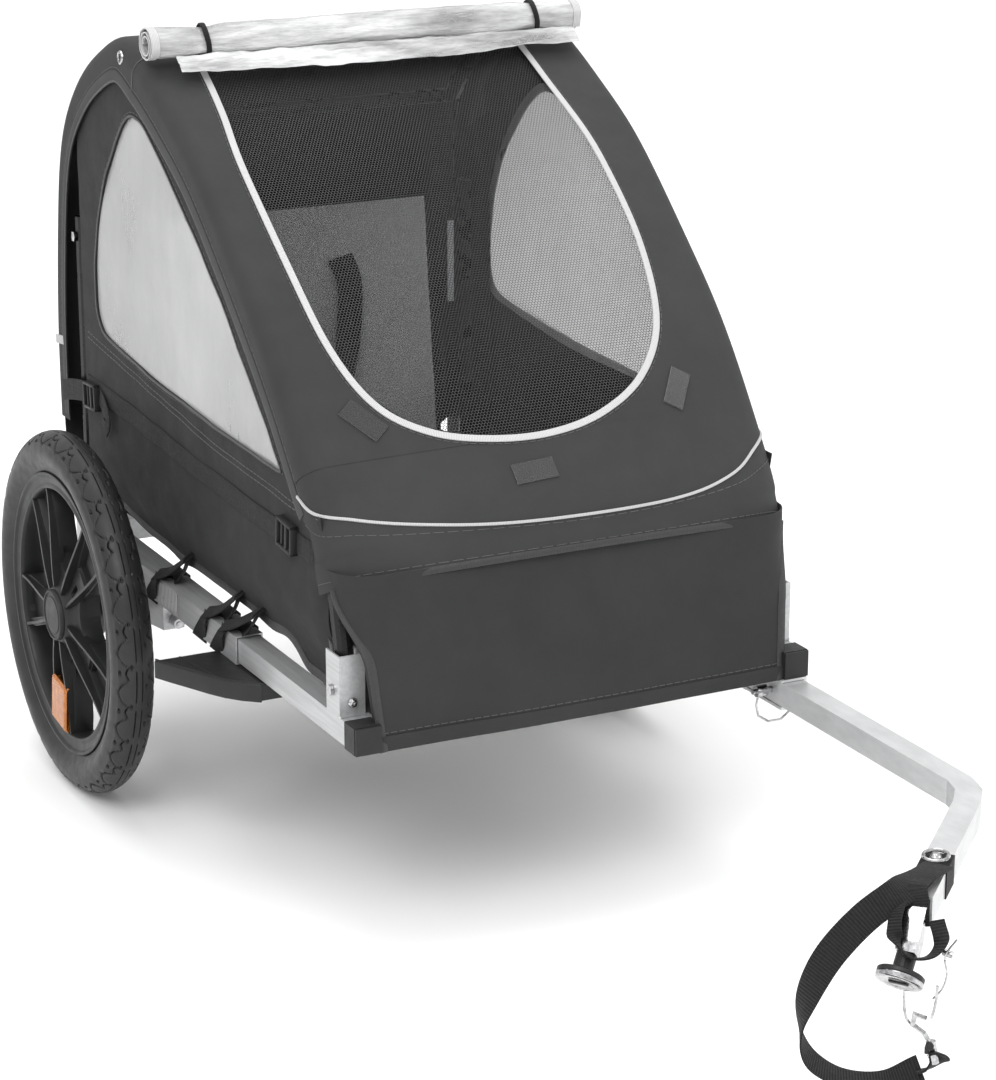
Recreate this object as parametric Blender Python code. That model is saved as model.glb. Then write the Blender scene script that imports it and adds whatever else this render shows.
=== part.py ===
"""Single-seat child bicycle trailer. Metres, +Z up, front towards -Y, tow arm under the +X rail.

Lengths along Y are written from the front ends of the rails; the empty "trailer" carries the
whole assembly so that the middle of its box stands over the world origin.
"""
import math

import bmesh
import bpy
from mathutils import Matrix, Vector

# Driving dimensions
MIDDLE_Y = 0.1314
GAP = 0.0003
RAIL_X = 0.237
RAIL_Z = 0.235
RAIL_SIZE = 0.025
SLEEVE_SIZE = 0.030
TUBE_WALL = 0.0015
RAIL_REAR = 0.400
SLEEVE_FRONT = 0.290
SLEEVE_REAR = 0.770
CAGE_TUBE = 0.0095
BAR_TUBE = 0.0080
PIVOT_Y = 0.050
PIVOT_Z = 0.272
PIN_RADIUS = 0.0029
PIN_HOLE = 0.0033
UPRIGHT_Y = 0.748
UPRIGHT_BASE_Z = 0.268
UPRIGHT_TOP_Z = 0.600
UPRIGHT_TAIL = 0.0065
LAP_Z = 0.578
LAP_X = 0.211
AXLE_Y = 0.580
AXLE_Z = 0.200
AXLE_RADIUS = 0.006
WHEEL_X = 0.3236
WHEEL_RADIUS = 0.200
TYRE_WIDTH = 0.047
BEAD_RADIUS = 0.1565
HUB_RADIUS = 0.030
BEARING_RADIUS = 0.0140
SPOKES = 5
WHEEL_STEPS = 48
SPOKE_ANGLE = 118
REFLECTOR_SPOKE = 2
ARM_X = 0.2332
ARM_Z = 0.2050
ARM_SIZE = 0.025
ARM_PIVOT_Y = 0.080
ARM_PIN_Y = 0.018
CABIN_HALF = 0.2525
CLOTH = 0.003
SEAT_HALF = 0.165

KNUCKLE = Vector((0.030, -0.520, 0.184))
COUPLER_AXIS = Vector((-0.552, -0.383, -0.740)).normalized()
THUMB = Vector((0.0380, -0.5395, 0.0880))


# Scene and materials
for item in list(bpy.data.objects):
    bpy.data.objects.remove(item, do_unlink=True)

trailer = bpy.data.objects.new("trailer", None)
bpy.context.collection.objects.link(trailer)
trailer.location = (0, -MIDDLE_Y, 0)


def finish_of(name, colour, roughness, metallic=0.0):
    made = bpy.data.materials.new(name)
    made.use_nodes = True
    shader = made.node_tree.nodes["Principled BSDF"]
    shader.inputs["Base Color"].default_value = (*colour, 1)
    shader.inputs["Roughness"].default_value = roughness
    shader.inputs["Metallic"].default_value = metallic
    return made


FINISHES = {
    "silver": ((0.56, 0.57, 0.58), 0.38, 1.0),
    "steel": ((0.62, 0.62, 0.63), 0.25, 1.0),
    "black_tube": ((0.02, 0.02, 0.021), 0.40, 0.0),
    "plastic": ((0.022, 0.022, 0.024), 0.55, 0.0),
    "rubber": ((0.028, 0.028, 0.029), 0.80, 0.0),
    "amber": ((0.72, 0.24, 0.02), 0.20, 0.0),
    "canvas": ((0.055, 0.056, 0.058), 0.85, 0.0),
    "vinyl": ((0.62, 0.63, 0.64), 0.12, 0.0),
    "mesh": ((0.03, 0.03, 0.03), 0.80, 0.0),
    "lining": ((0.20, 0.20, 0.21), 0.55, 0.0),
    "webbing": ((0.018, 0.018, 0.019), 0.85, 0.0),
}


# Mesh tools
def empty_at(name, place, parent=trailer):
    made = bpy.data.objects.new(name, None)
    bpy.context.collection.objects.link(made)
    made.parent = parent
    made.location = Vector(place)
    return made


def add(name, mesh, finish, axis=None):
    """A node from a bmesh given in trailer coordinates, hung from the empty on its joint's axis."""
    bmesh.ops.recalc_face_normals(mesh, faces=mesh.faces)
    data = bpy.data.meshes.new(name)
    mesh.to_mesh(data)
    mesh.free()
    made = bpy.data.objects.new(name, data)
    bpy.context.collection.objects.link(made)
    made.parent = axis or trailer
    if axis:
        data.transform(Matrix.Translation(-axis.location))
    data.materials.append(finish_of(name, *FINISHES[finish]))
    data.shade_smooth()
    data.set_sharp_from_angle(angle=math.radians(35))
    return made


def helper(mesh, like):
    """A hidden operand for a Boolean on the node that it is like."""
    made = add(like.name + ".operand", mesh, "steel", like.parent if like.parent != trailer else None)
    made.hide_render = True
    made.display_type = "WIRE"
    return made


def cut(node, *meshes):
    for mesh in meshes:
        step = node.modifiers.new("cut", "BOOLEAN")
        step.operation = "DIFFERENCE"
        step.object = helper(mesh, node)
    return node


def weld(node, *meshes):
    for mesh in meshes:
        step = node.modifiers.new("weld", "BOOLEAN")
        step.operation = "UNION"
        step.object = helper(mesh, node)
    return node


def block(low, high):
    mesh = bmesh.new()
    bmesh.ops.create_cube(mesh, size=1)
    low, high = Vector(low), Vector(high)
    bmesh.ops.scale(mesh, vec=high - low, verts=mesh.verts)
    bmesh.ops.translate(mesh, vec=(low + high) / 2, verts=mesh.verts)
    return mesh


def prism(outline, place, depth):
    """A closed outline of (a, b) pairs carried to 3-D by place(a, b, t), for t = 0 and t = depth."""
    mesh = bmesh.new()
    near = [mesh.verts.new(place(a, b, 0)) for a, b in outline]
    far = [mesh.verts.new(place(a, b, depth)) for a, b in outline]
    mesh.faces.new(near)
    mesh.faces.new(far)
    for i in range(len(near)):
        j = (i + 1) % len(near)
        mesh.faces.new((near[i], near[j], far[j], far[i]))
    return mesh


def frames_along(path, up):
    """Each path point with its side and up directions, mitred where the path bends."""
    points = [Vector(point) for point in path]
    frames = []
    for i, point in enumerate(points):
        before = (point - points[i - 1]).normalized() if i else None
        after = (points[i + 1] - point).normalized() if i < len(points) - 1 else None
        ahead = ((before or after) + (after or before)).normalized()
        side = ahead.cross(Vector(up)).normalized()
        top = side.cross(ahead).normalized()
        stretch = 1 / max(0.5, ahead.dot(before or after))
        frames.append((point, side * stretch, top))
    return frames


def sweep(path, outer, inner=None, up=(0, 0, 1)):
    """A bar with the (a, b) section outer, or a tube open at its ends where inner is given."""
    mesh = bmesh.new()
    rings = []
    for section in filter(None, (outer, inner)):
        rings.append([[mesh.verts.new(point + side * a + top * b) for a, b in section]
                      for point, side, top in frames_along(path, up)])
    count = len(outer)
    for skin in rings:
        for low, high in zip(skin, skin[1:]):
            for i in range(count):
                j = (i + 1) % count
                mesh.faces.new((low[i], low[j], high[j], high[i]))
    for end in (0, -1):
        if inner is None:
            mesh.faces.new(rings[0][end])
            continue
        for i in range(count):
            j = (i + 1) % count
            mesh.faces.new((rings[0][end][i], rings[0][end][j], rings[1][end][j], rings[1][end][i]))
    return mesh


def circle(radius, sides=12, turn=0.0):
    return [(radius * math.cos(turn + math.tau * i / sides), radius * math.sin(turn + math.tau * i / sides))
            for i in range(sides)]


def square(size):
    return [(size / 2, size / 2), (-size / 2, size / 2), (-size / 2, -size / 2), (size / 2, -size / 2)]


def rod(start, end, radius, sides=16, bore=None):
    start, end = Vector(start), Vector(end)
    up = (0, 0, 1) if abs((end - start).normalized().z) < 0.9 else (1, 0, 0)
    return sweep((start, end), circle(radius, sides), circle(bore, sides) if bore else None, up)


def across(x_start, x_end, y, z, radius, sides=12):
    """A round bar from side to side."""
    return rod((x_start, y, z), (x_end, y, z), radius, sides)


def turned(profile, centre, axis, steps):
    """A closed (along, radius) profile spun round the axis through the centre."""
    axis = Vector(axis).normalized()
    outward = axis.orthogonal().normalized()
    mesh = bmesh.new()
    ring = [mesh.verts.new(Vector(centre) + axis * a + outward * r) for a, r in profile]
    edges = [mesh.edges.new((ring[i], ring[(i + 1) % len(ring)])) for i in range(len(ring))]
    bmesh.ops.spin(mesh, geom=ring + edges, cent=centre, axis=axis, angle=math.tau,
                   steps=steps, use_merge=True)
    bmesh.ops.remove_doubles(mesh, verts=mesh.verts, dist=1e-6)
    return mesh


def square_tube(name, x, size, front, rear):
    path = ((x, front, RAIL_Z), (x, rear, RAIL_Z))
    return add(name, sweep(path, square(size), square(size - 2 * TUBE_WALL)), "silver")


def tube(name, path, radius, wall, axis=None, up=(0, 0, 1)):
    return add(name, sweep(path, circle(radius, 12), circle(radius - wall, 12), up), "black_tube", axis)


# The cabin's outline, seen from the side, as (y, z) from the front flap over the roof to the back
PROFILE = ((0.030, 0.378), (0.042, 0.402), (0.062, 0.430), (0.152, 0.536), (0.247, 0.626),
           (0.356, 0.716), (0.446, 0.768), (0.520, 0.802), (0.583, 0.820), (0.649, 0.800),
           (0.710, 0.764), (0.758, 0.717), (0.787, 0.656), (0.804, 0.570), (0.815, 0.460),
           (0.815, 0.360))
FRONT_BULGE = (0.016, 0.022, 0.026, 0.020, 0.014, 0.008, 0.004)
WINDOW_BASE = Vector((0, 0.152, 0.536))
WINDOW_UP = Vector((0, 0.743, 0.669)).normalized()
WINDOW_OUT = Vector((1, 0, 0)).cross(WINDOW_UP).normalized()


def cabin_skin(half, depth_in, columns, first, last, thickness):
    """A cloth strip over the profile's points first to last, bowed forward at its middle."""
    mesh = bmesh.new()
    rows = []
    for k in range(first, last):
        y, z = PROFILE[k]
        before = Vector(PROFILE[max(k - 1, 0)])
        after = Vector(PROFILE[min(k + 1, len(PROFILE) - 1)])
        along = (after - before).normalized()
        inward = Vector((along.y, -along.x))
        bulge = FRONT_BULGE[k] if k < len(FRONT_BULGE) else 0
        row = []
        for j in range(columns + 1):
            share = 2 * j / columns - 1
            bow = bulge * (1 - share ** 2)
            place = Vector((y - bow * 0.8, z + bow * 0.4)) + inward * depth_in
            row.append((half * share, place.x, place.y))
        rows.append((row, inward))
    skins = []
    for depth in (0, thickness):
        skins.append([[mesh.verts.new((x, y + inward.x * depth, z + inward.y * depth)) for x, y, z in row]
                      for row, inward in rows])
    for skin in skins:
        for low, high in zip(skin, skin[1:]):
            for i in range(columns):
                mesh.faces.new((low[i], low[i + 1], high[i + 1], high[i]))
    outer, inner = skins
    for end in (0, -1):
        for i in range(columns):
            mesh.faces.new((outer[end][i], outer[end][i + 1], inner[end][i + 1], inner[end][i]))
        for i in range(len(outer) - 1):
            mesh.faces.new((outer[i][end], outer[i + 1][end], inner[i + 1][end], inner[i][end]))
    return mesh


# Frame
def build_rails():
    for side, x in (("left", -RAIL_X), ("right", RAIL_X)):
        square_tube("rail_" + side, x, RAIL_SIZE, 0, RAIL_REAR)
        square_tube("rail_sleeve_" + side, x, SLEEVE_SIZE, SLEEVE_FRONT, SLEEVE_REAR)
        half = RAIL_SIZE / 2 + 0.001
        plug = RAIL_SIZE / 2 - TUBE_WALL - GAP
        face = block((x - half, -0.004, RAIL_Z - half), (x + half, -GAP, RAIL_Z + half))
        cap = add("rail_cap_" + side, face, "plastic")
        weld(cap, block((x - plug, -0.001, RAIL_Z - plug), (x + plug, 0.018, RAIL_Z + plug)))
        lip, skirt, tube_face = half + 0.0006, 0.022, RAIL_SIZE / 2 + GAP
        low, high = RAIL_Z - half, RAIL_Z + half
        weld(cap, block((x - half, -0.001, RAIL_Z + tube_face), (x + half, skirt, RAIL_Z + lip)))
        weld(cap, block((x - lip, -0.001, low), (x - tube_face, skirt, high)))
        weld(cap, block((x + tube_face, -0.001, low), (x + lip, skirt, high)))


def build_cross_tubes():
    for name, y, size in (("front_cross_tube", 0.050, RAIL_SIZE), ("rear_cross_tube", 0.742, SLEEVE_SIZE)):
        reach = RAIL_X - size / 2 - GAP
        path = ((-reach, y, RAIL_Z), (reach, y, RAIL_Z))
        add(name, sweep(path, square(RAIL_SIZE), square(RAIL_SIZE - 2 * TUBE_WALL)), "silver")


def build_post(side, x):
    """An upright channel on the rail, open to the back, with the pin that the cage hoop turns on."""
    half, low, high = 0.0135, RAIL_Z + RAIL_SIZE / 2 + GAP, 0.3095
    front, rear, wall = PIVOT_Y - 0.0165, PIVOT_Y + 0.0140, 0.0020
    post = add("front_post_" + side, block((x - half, front, low), (x + half, rear, high)), "silver")
    cut(post, block((x - half + wall, front + wall, low + wall), (x + half - wall, rear + 0.01, high + 0.01)))
    cut(post, across(x - 0.03, x + 0.03, PIVOT_Y, PIVOT_Z, PIN_HOLE))
    shank = across(x - half - 0.002, x + half + 0.002, PIVOT_Y, PIVOT_Z, PIN_RADIUS)
    pin = add("pivot_pin_" + side, shank, "steel")
    for face in (-1, 1):
        near = x + face * (half + GAP)
        weld(pin, across(near, near + face * 0.0035, PIVOT_Y, PIVOT_Z, 0.0055))


def hoop_x(y):
    """The hoops lean inwards from the posts to the lap joints."""
    share = min(max((y - 0.165) / (0.742 - 0.165), 0), 1)
    return RAIL_X + (LAP_X - RAIL_X) * share


HOOP = ((PIVOT_Y, 0.262), (PIVOT_Y, 0.300), (0.062, 0.350), (0.088, 0.404), (0.165, 0.524), (0.256, 0.610),
        (0.363, 0.699), (0.452, 0.750), (0.525, 0.782), (0.583, 0.798), (0.640, 0.782), (0.694, 0.748),
        (0.732, 0.704), (0.748, 0.650), (0.748, 0.556))


def build_hoops(axis):
    for side, sign in (("left", -1), ("right", 1)):
        path = [(sign * hoop_x(y), y, z) for y, z in HOOP]
        hoop = tube("cage_hoop_" + side, path, CAGE_TUBE, TUBE_WALL, axis, (1, 0, 0))
        cut(hoop, across(sign * 0.21, sign * 0.26, PIVOT_Y, PIVOT_Z, PIN_HOLE))
    for name, y, z in (("cage_top_bar", 0.583, 0.798), ("cage_rear_bar", 0.732, 0.704)):
        reach = hoop_x(y) - CAGE_TUBE - 0.0005
        tube(name, ((-reach, y, z), (reach, y, z)), BAR_TUBE, TUBE_WALL, axis)


def build_upright(side, sign, axis):
    """The rear leg under the lap joint, which lies down forwards along the rail."""
    x = sign * RAIL_X
    path = ((x, UPRIGHT_Y, UPRIGHT_BASE_Z - UPRIGHT_TAIL), (x, UPRIGHT_Y, UPRIGHT_TOP_Z))
    leg = tube("rear_upright_" + side, path, CAGE_TUBE, TUBE_WALL, axis, (1, 0, 0))
    for z in (UPRIGHT_BASE_Z, LAP_Z):
        cut(leg, across(x - 0.02, x + 0.02, UPRIGHT_Y, z, PIN_HOLE))
    tip = LAP_X + CAGE_TUBE + GAP
    head = RAIL_X + CAGE_TUBE + GAP
    shank = across(sign * tip, sign * (head + 0.001), UPRIGHT_Y, LAP_Z, PIN_RADIUS)
    bolt = add("lap_bolt_" + side, shank, "steel", axis)
    weld(bolt, across(sign * head, sign * (head + 0.0035), UPRIGHT_Y, LAP_Z, 0.0060, 6))
    spacer_end = RAIL_X - CAGE_TUBE - GAP
    weld(bolt, across(sign * (tip + 0.0005), sign * spacer_end, UPRIGHT_Y, LAP_Z, 0.0055))
    foot = SLEEVE_SIZE / 2 + RAIL_Z + GAP
    half, wall = 0.0135, 0.0020
    front, rear = UPRIGHT_Y - 0.014, UPRIGHT_Y + 0.014
    bracket = add("upright_foot_" + side, block((x - half, front, foot), (x + half, rear, 0.290)), "silver")
    pocket = block((x - half + wall, front - 0.01, foot + wall), (x + half - wall, rear - wall, 0.300))
    cut(bracket, pocket)
    pin_end = half + 0.0030
    weld(bracket, across(x - pin_end, x + pin_end, UPRIGHT_Y, UPRIGHT_BASE_Z, PIN_RADIUS))


# Wheels
def build_wheel(side, sign, axis):
    centre = Vector((sign * WHEEL_X, AXLE_Y, AXLE_Z))
    out = Vector((sign, 0, 0))
    bead, crown, half = BEAD_RADIUS, WHEEL_RADIUS - TYRE_WIDTH / 2, TYRE_WIDTH / 2
    section = [(half * math.sin(math.radians(a)), crown + half * math.cos(math.radians(a)))
               for a in range(-120, 121, 30)]
    section = [(-0.013, bead)] + section + [(0.013, bead)]
    add("tyre_" + side, turned(section, centre, out, WHEEL_STEPS), "rubber", axis)

    rim_low, hub_in, hub_out, disc = 0.141, -0.028, 0.022, 0.010
    outline = [(hub_in, BEARING_RADIUS + 0.0003), (hub_out, BEARING_RADIUS + 0.0003), (hub_out, HUB_RADIUS),
               (disc, HUB_RADIUS + 0.004), (disc, rim_low), (0.016, rim_low + 0.002), (0.016, bead - GAP),
               (-0.016, bead - GAP), (-0.016, rim_low + 0.002), (-disc, rim_low), (-disc, HUB_RADIUS + 0.004),
               (hub_in, HUB_RADIUS - 0.006)]
    rim = add("wheel_rim_" + side, turned(outline, centre, out, WHEEL_STEPS), "plastic", axis)

    def radial(degrees):
        """A direction in the wheel's plane, turned from forwards towards up."""
        return Vector((0, -math.cos(math.radians(degrees)), math.sin(math.radians(degrees))))

    def on_wheel(a, b, t):
        return centre + out * (t - 0.03) + radial(a) * b

    for k in range(SPOKES):
        middle = SPOKE_ANGLE + (k + 0.5) * 360 / SPOKES
        arch = [(middle + a, 0.139) for a in (-22, -11, 0, 11, 22)]
        arch += [(middle + a, r) for a, r in ((19, 0.060), (10, 0.046), (-10, 0.046), (-19, 0.060))]
        cut(rim, prism(arch, on_wheel, 0.06))
        spoke = SPOKE_ANGLE + k * 360 / SPOKES
        slot = [(spoke + a, 0.139) for a in (-8.5, 0, 8.5)] + [(spoke + a, 0.058) for a in (5, -5)]
        cut(rim, prism(slot, on_wheel, 0.06))

    for name, a in (("inner", hub_in + 0.0005), ("outer", hub_out - 0.0085)):
        bore, race = AXLE_RADIUS + 0.00015, a + 0.008
        ring = [(a, bore), (race, bore), (race, BEARING_RADIUS), (a, BEARING_RADIUS)]
        add("wheel_bearing_" + name + "_" + side, turned(ring, centre, out, 32), "steel", axis)
    cap = [(hub_out + GAP, 0), (hub_out + 0.0042, 0), (hub_out + 0.0042, 0.026), (hub_out + 0.0025, 0.0285),
           (hub_out + GAP, 0.0285)]
    add("hub_cap_" + side, turned(cap, centre, out, 28), "plastic", axis)
    ray = radial(SPOKE_ANGLE + REFLECTOR_SPOKE * 360 / SPOKES)

    def on_lens(a, b, t):
        return centre + out * (disc + GAP + t) + ray * (0.106 + b) + out.cross(ray) * a

    rounded = [(sx * 0.0175 - sx * i, sy * 0.0310 - sy * j) for sx, sy, cuts in (
        (1, 1, ((0, 0.004), (0.004, 0))), (-1, 1, ((0.004, 0), (0, 0.004))),
        (-1, -1, ((0, 0.004), (0.004, 0))), (1, -1, ((0.004, 0), (0, 0.004)))) for i, j in cuts]
    add("reflector_" + side, prism(rounded, on_lens, 0.009), "amber", axis)


def build_axle(side, sign, pin_axis):
    x = sign * RAIL_X
    top = RAIL_Z - SLEEVE_SIZE / 2 - GAP
    cheeks = [(0.505, top), (0.655, top), (0.655, 0.205), (0.612, 0.184), (0.552, 0.184), (0.505, 0.190)]

    def beside(a, b, t):
        return Vector((x - 0.012 + t, a, b))

    bracket = add("axle_bracket_" + side, prism(cheeks, beside, 0.024), "silver")
    cut(bracket, rod((x - 0.05, AXLE_Y, AXLE_Z), (x + 0.05, AXLE_Y, AXLE_Z), AXLE_RADIUS + 0.0004, 24))
    cut(bracket, rod((x, 0.45, AXLE_Z), (x, AXLE_Y, AXLE_Z), 0.0032, 16))
    near, far = sign * (RAIL_X - 0.014), sign * (WHEEL_X + 0.0215)
    axle = add("axle_" + side, rod((near, AXLE_Y, AXLE_Z), (far, AXLE_Y, AXLE_Z), AXLE_RADIUS, 24), "steel")
    collar = sign * (RAIL_X + 0.012 + GAP)
    weld(axle, rod((collar, AXLE_Y, AXLE_Z), (collar + sign * 0.006, AXLE_Y, AXLE_Z), 0.0095, 24))
    shank = rod((x, 0.488, AXLE_Z), (x, AXLE_Y - AXLE_RADIUS - GAP, AXLE_Z), 0.0028, 12)
    pin = add("axle_lock_pin_" + side, shank, "steel", pin_axis)
    weld(pin, rod((x, 0.490, AXLE_Z), (x, 0.503, AXLE_Z), 0.0055, 16))


def build_guard(side, sign):
    """The moulded step that keeps feet off the tyre: a dished quarter disc under the rail."""
    top, low, wall = RAIL_Z - SLEEVE_SIZE / 2 - GAP, 0.2000, 0.003
    outline = [(0.2250, 0.2080), (0.2530, 0.2250), (0.2680, 0.2380), (0.2800, 0.2530), (0.2905, 0.2720),
               (0.3008, 0.2950), (0.3115, 0.3175), (0.3220, 0.3420), (0.2250, 0.3420)]

    def lying(a, b, t):
        return Vector((sign * a, b, low + t))

    guard = add("wheel_guard_" + side, prism(outline, lying, top - low), "plastic")
    middle = Vector((0.262, 0.290))
    pocket = [middle + (Vector(p) - middle) * 0.94 for p in outline]

    def hollow(a, b, t):
        return Vector((sign * a, b, low - 0.01 + t))

    cut(guard, prism(pocket, hollow, top - low + 0.01 - wall))


# Tow arm
def build_tow_arm(arm_axis, pin_axis, coupler_axis, thumb_axis):
    bend = ((ARM_X, ARM_PIVOT_Y + 0.012), (ARM_X, -0.296), (ARM_X - 0.007, -0.322),
            (ARM_X - 0.026, -0.346), (0.048, -0.503))
    path = [(x, y, ARM_Z) for x, y in bend]
    wall = 0.002
    arm = add("tow_arm", sweep(path, square(ARM_SIZE), square(ARM_SIZE - 2 * wall)), "silver", arm_axis)
    cut(arm, across(ARM_X - 0.03, ARM_X + 0.03, ARM_PIN_Y, ARM_Z, 0.0034))
    cut(arm, rod((ARM_X, ARM_PIVOT_Y, ARM_Z - 0.03), (ARM_X, ARM_PIVOT_Y, ARM_Z + 0.03), 0.0044))

    # The bracket's web stops ahead of the pivot, so that the arm's tail can swing out past it.
    half, plate, front, rear = ARM_SIZE / 2 + 0.0006, 0.0030, -0.004, 0.102
    top = RAIL_Z - RAIL_SIZE / 2 - 0.0018
    low = ARM_Z - half - plate
    web, lug = ARM_X + half, ARM_X - 0.0135
    bracket = add("arm_bracket", block((lug, front, ARM_Z + half), (web + plate, rear, top)), "silver")
    weld(bracket, block((lug, front, low), (web + plate, rear, ARM_Z - half)))
    weld(bracket, block((web, front, low), (web + plate, ARM_PIVOT_Y - 0.012, top)))
    cut(bracket, across(web - 0.01, web + 0.01, ARM_PIN_Y, ARM_Z, 0.0034))
    cut(bracket, rod((ARM_X, ARM_PIVOT_Y, 0.15), (ARM_X, ARM_PIVOT_Y, 0.25), 0.0044))
    shank = rod((ARM_X, ARM_PIVOT_Y, low - 0.005), (ARM_X, ARM_PIVOT_Y, top - GAP), 0.0040, 16)
    bolt = add("arm_pivot_bolt", shank, "steel")
    weld(bolt, rod((ARM_X, ARM_PIVOT_Y, low - 0.0055), (ARM_X, ARM_PIVOT_Y, low - GAP), 0.0075, 6))

    inner = ARM_X - ARM_SIZE / 2
    shank = across(inner - 0.022, web - GAP, ARM_PIN_Y, ARM_Z, 0.0030)
    pin = add("arm_lock_pin", shank, "steel", pin_axis)
    weld(pin, across(inner - 0.018, inner - 0.0060, ARM_PIN_Y, ARM_Z, 0.0060, 16))
    loop = [(inner - 0.014, 0.203), (inner - 0.017, 0.190), (inner - 0.014, 0.178), (inner - 0.002, 0.170)]
    loop += [(inner + 0.013, 0.170), (inner + 0.024, 0.178), (inner + 0.028, 0.186)]
    weld(pin, sweep([(x, ARM_PIN_Y, z) for x, z in loop], circle(0.0012, 8), up=(0, 1, 0)))

    end = Vector((0.048, -0.503, ARM_Z))
    heading = (end - Vector((ARM_X - 0.026, -0.346, ARM_Z))).normalized()
    tongue_path = (end - heading * 0.020, end + heading * 0.007, KNUCKLE, KNUCKLE + COUPLER_AXIS * 0.010)
    tongue = add("hitch_tongue", sweep(tongue_path, square(0.0180)), "steel", arm_axis)
    tongue_tip = KNUCKLE + COUPLER_AXIS * 0.0095
    cut(tongue, rod(tongue_tip - COUPLER_AXIS * 0.006, tongue_tip + COUPLER_AXIS * 0.02, 0.0044))
    face = KNUCKLE + COUPLER_AXIS * (0.010 + GAP)
    coupler = add("hitch_coupler", rod(face, face + COUPLER_AXIS * 0.018, 0.0090, 20), "rubber", coupler_axis)
    weld(coupler, rod(face + COUPLER_AXIS * 0.017, face + COUPLER_AXIS * 0.0255, 0.0200, 28))
    weld(coupler, rod(face - COUPLER_AXIS * 0.0045, face + COUPLER_AXIS * 0.002, 0.0038, 12))

    hook = [(0.040, -0.534, 0.118), (0.031, -0.530, 0.122), (0.030, -0.529, 0.112), (0.039, -0.533, 0.104),
            (0.045, -0.536, 0.092), (0.047, -0.537, 0.080)]
    snap = add("snap_hook", sweep(hook, circle(0.0022, 8), up=(0.45, 0.89, 0)), "steel", arm_axis)
    weld(snap, rod((0.0445, -0.5355, 0.096), (0.0480, -0.5375, 0.076), 0.0045, 12))
    stud = rod(THUMB, THUMB + Vector((0, 0, 0.006)), 0.0020, 10)
    add("snap_hook_thumb", stud, "plastic", thumb_axis)


STRAP_ROUTE = ((0.094, -0.466, 0.2225), (0.062, -0.486, 0.2260), (0.024, -0.503, 0.2230),
               (-0.006, -0.500, 0.2050), (-0.032, -0.490, 0.1720), (-0.048, -0.483, 0.1350),
               (-0.053, -0.482, 0.1050), (-0.045, -0.487, 0.0780), (-0.020, -0.500, 0.0600),
               (0.012, -0.516, 0.0560), (0.040, -0.530, 0.0680))


def smooth(points, steps):
    """A Catmull-Rom curve through the points."""
    points = [Vector(p) for p in points]
    padded = [2 * points[0] - points[1]] + points + [2 * points[-1] - points[-2]]
    curve = []
    for a, b, c, d in zip(padded, padded[1:], padded[2:], padded[3:]):
        for i in range(steps):
            t = i / steps
            curve.append(0.5 * (2 * b + (c - a) * t + (2 * a - 5 * b + 4 * c - d) * t ** 2
                                + (3 * b - a - 3 * c + d) * t ** 3))
    return curve + [points[-1]]


def build_strap(arm_axis):
    half, thick = 0.0125, 0.0011
    section = [(half, thick), (-half, thick), (-half, -thick), (half, -thick)]
    flat_side = (0.35, 0.94, 0.0)
    turned_section = [(b, a) for a, b in section]
    add("safety_strap", sweep(smooth(STRAP_ROUTE, 3), turned_section, up=flat_side), "webbing", arm_axis)


# Cabin
def side_outline(inset):
    """The side panel's edge, in from the cabin's profile, and along the bottom above the rail."""
    upper = []
    for k in range(2, 13):
        before, after = Vector(PROFILE[k - 1]), Vector(PROFILE[k + 1])
        along = (after - before).normalized()
        upper.append(tuple(Vector(PROFILE[k]) + Vector((along.y, -along.x)) * inset))
    return upper + [(0.7360, 0.590), (0.7360, 0.300), (0.690, 0.262), (0.075, 0.262), (0.070, 0.330)]


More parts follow.
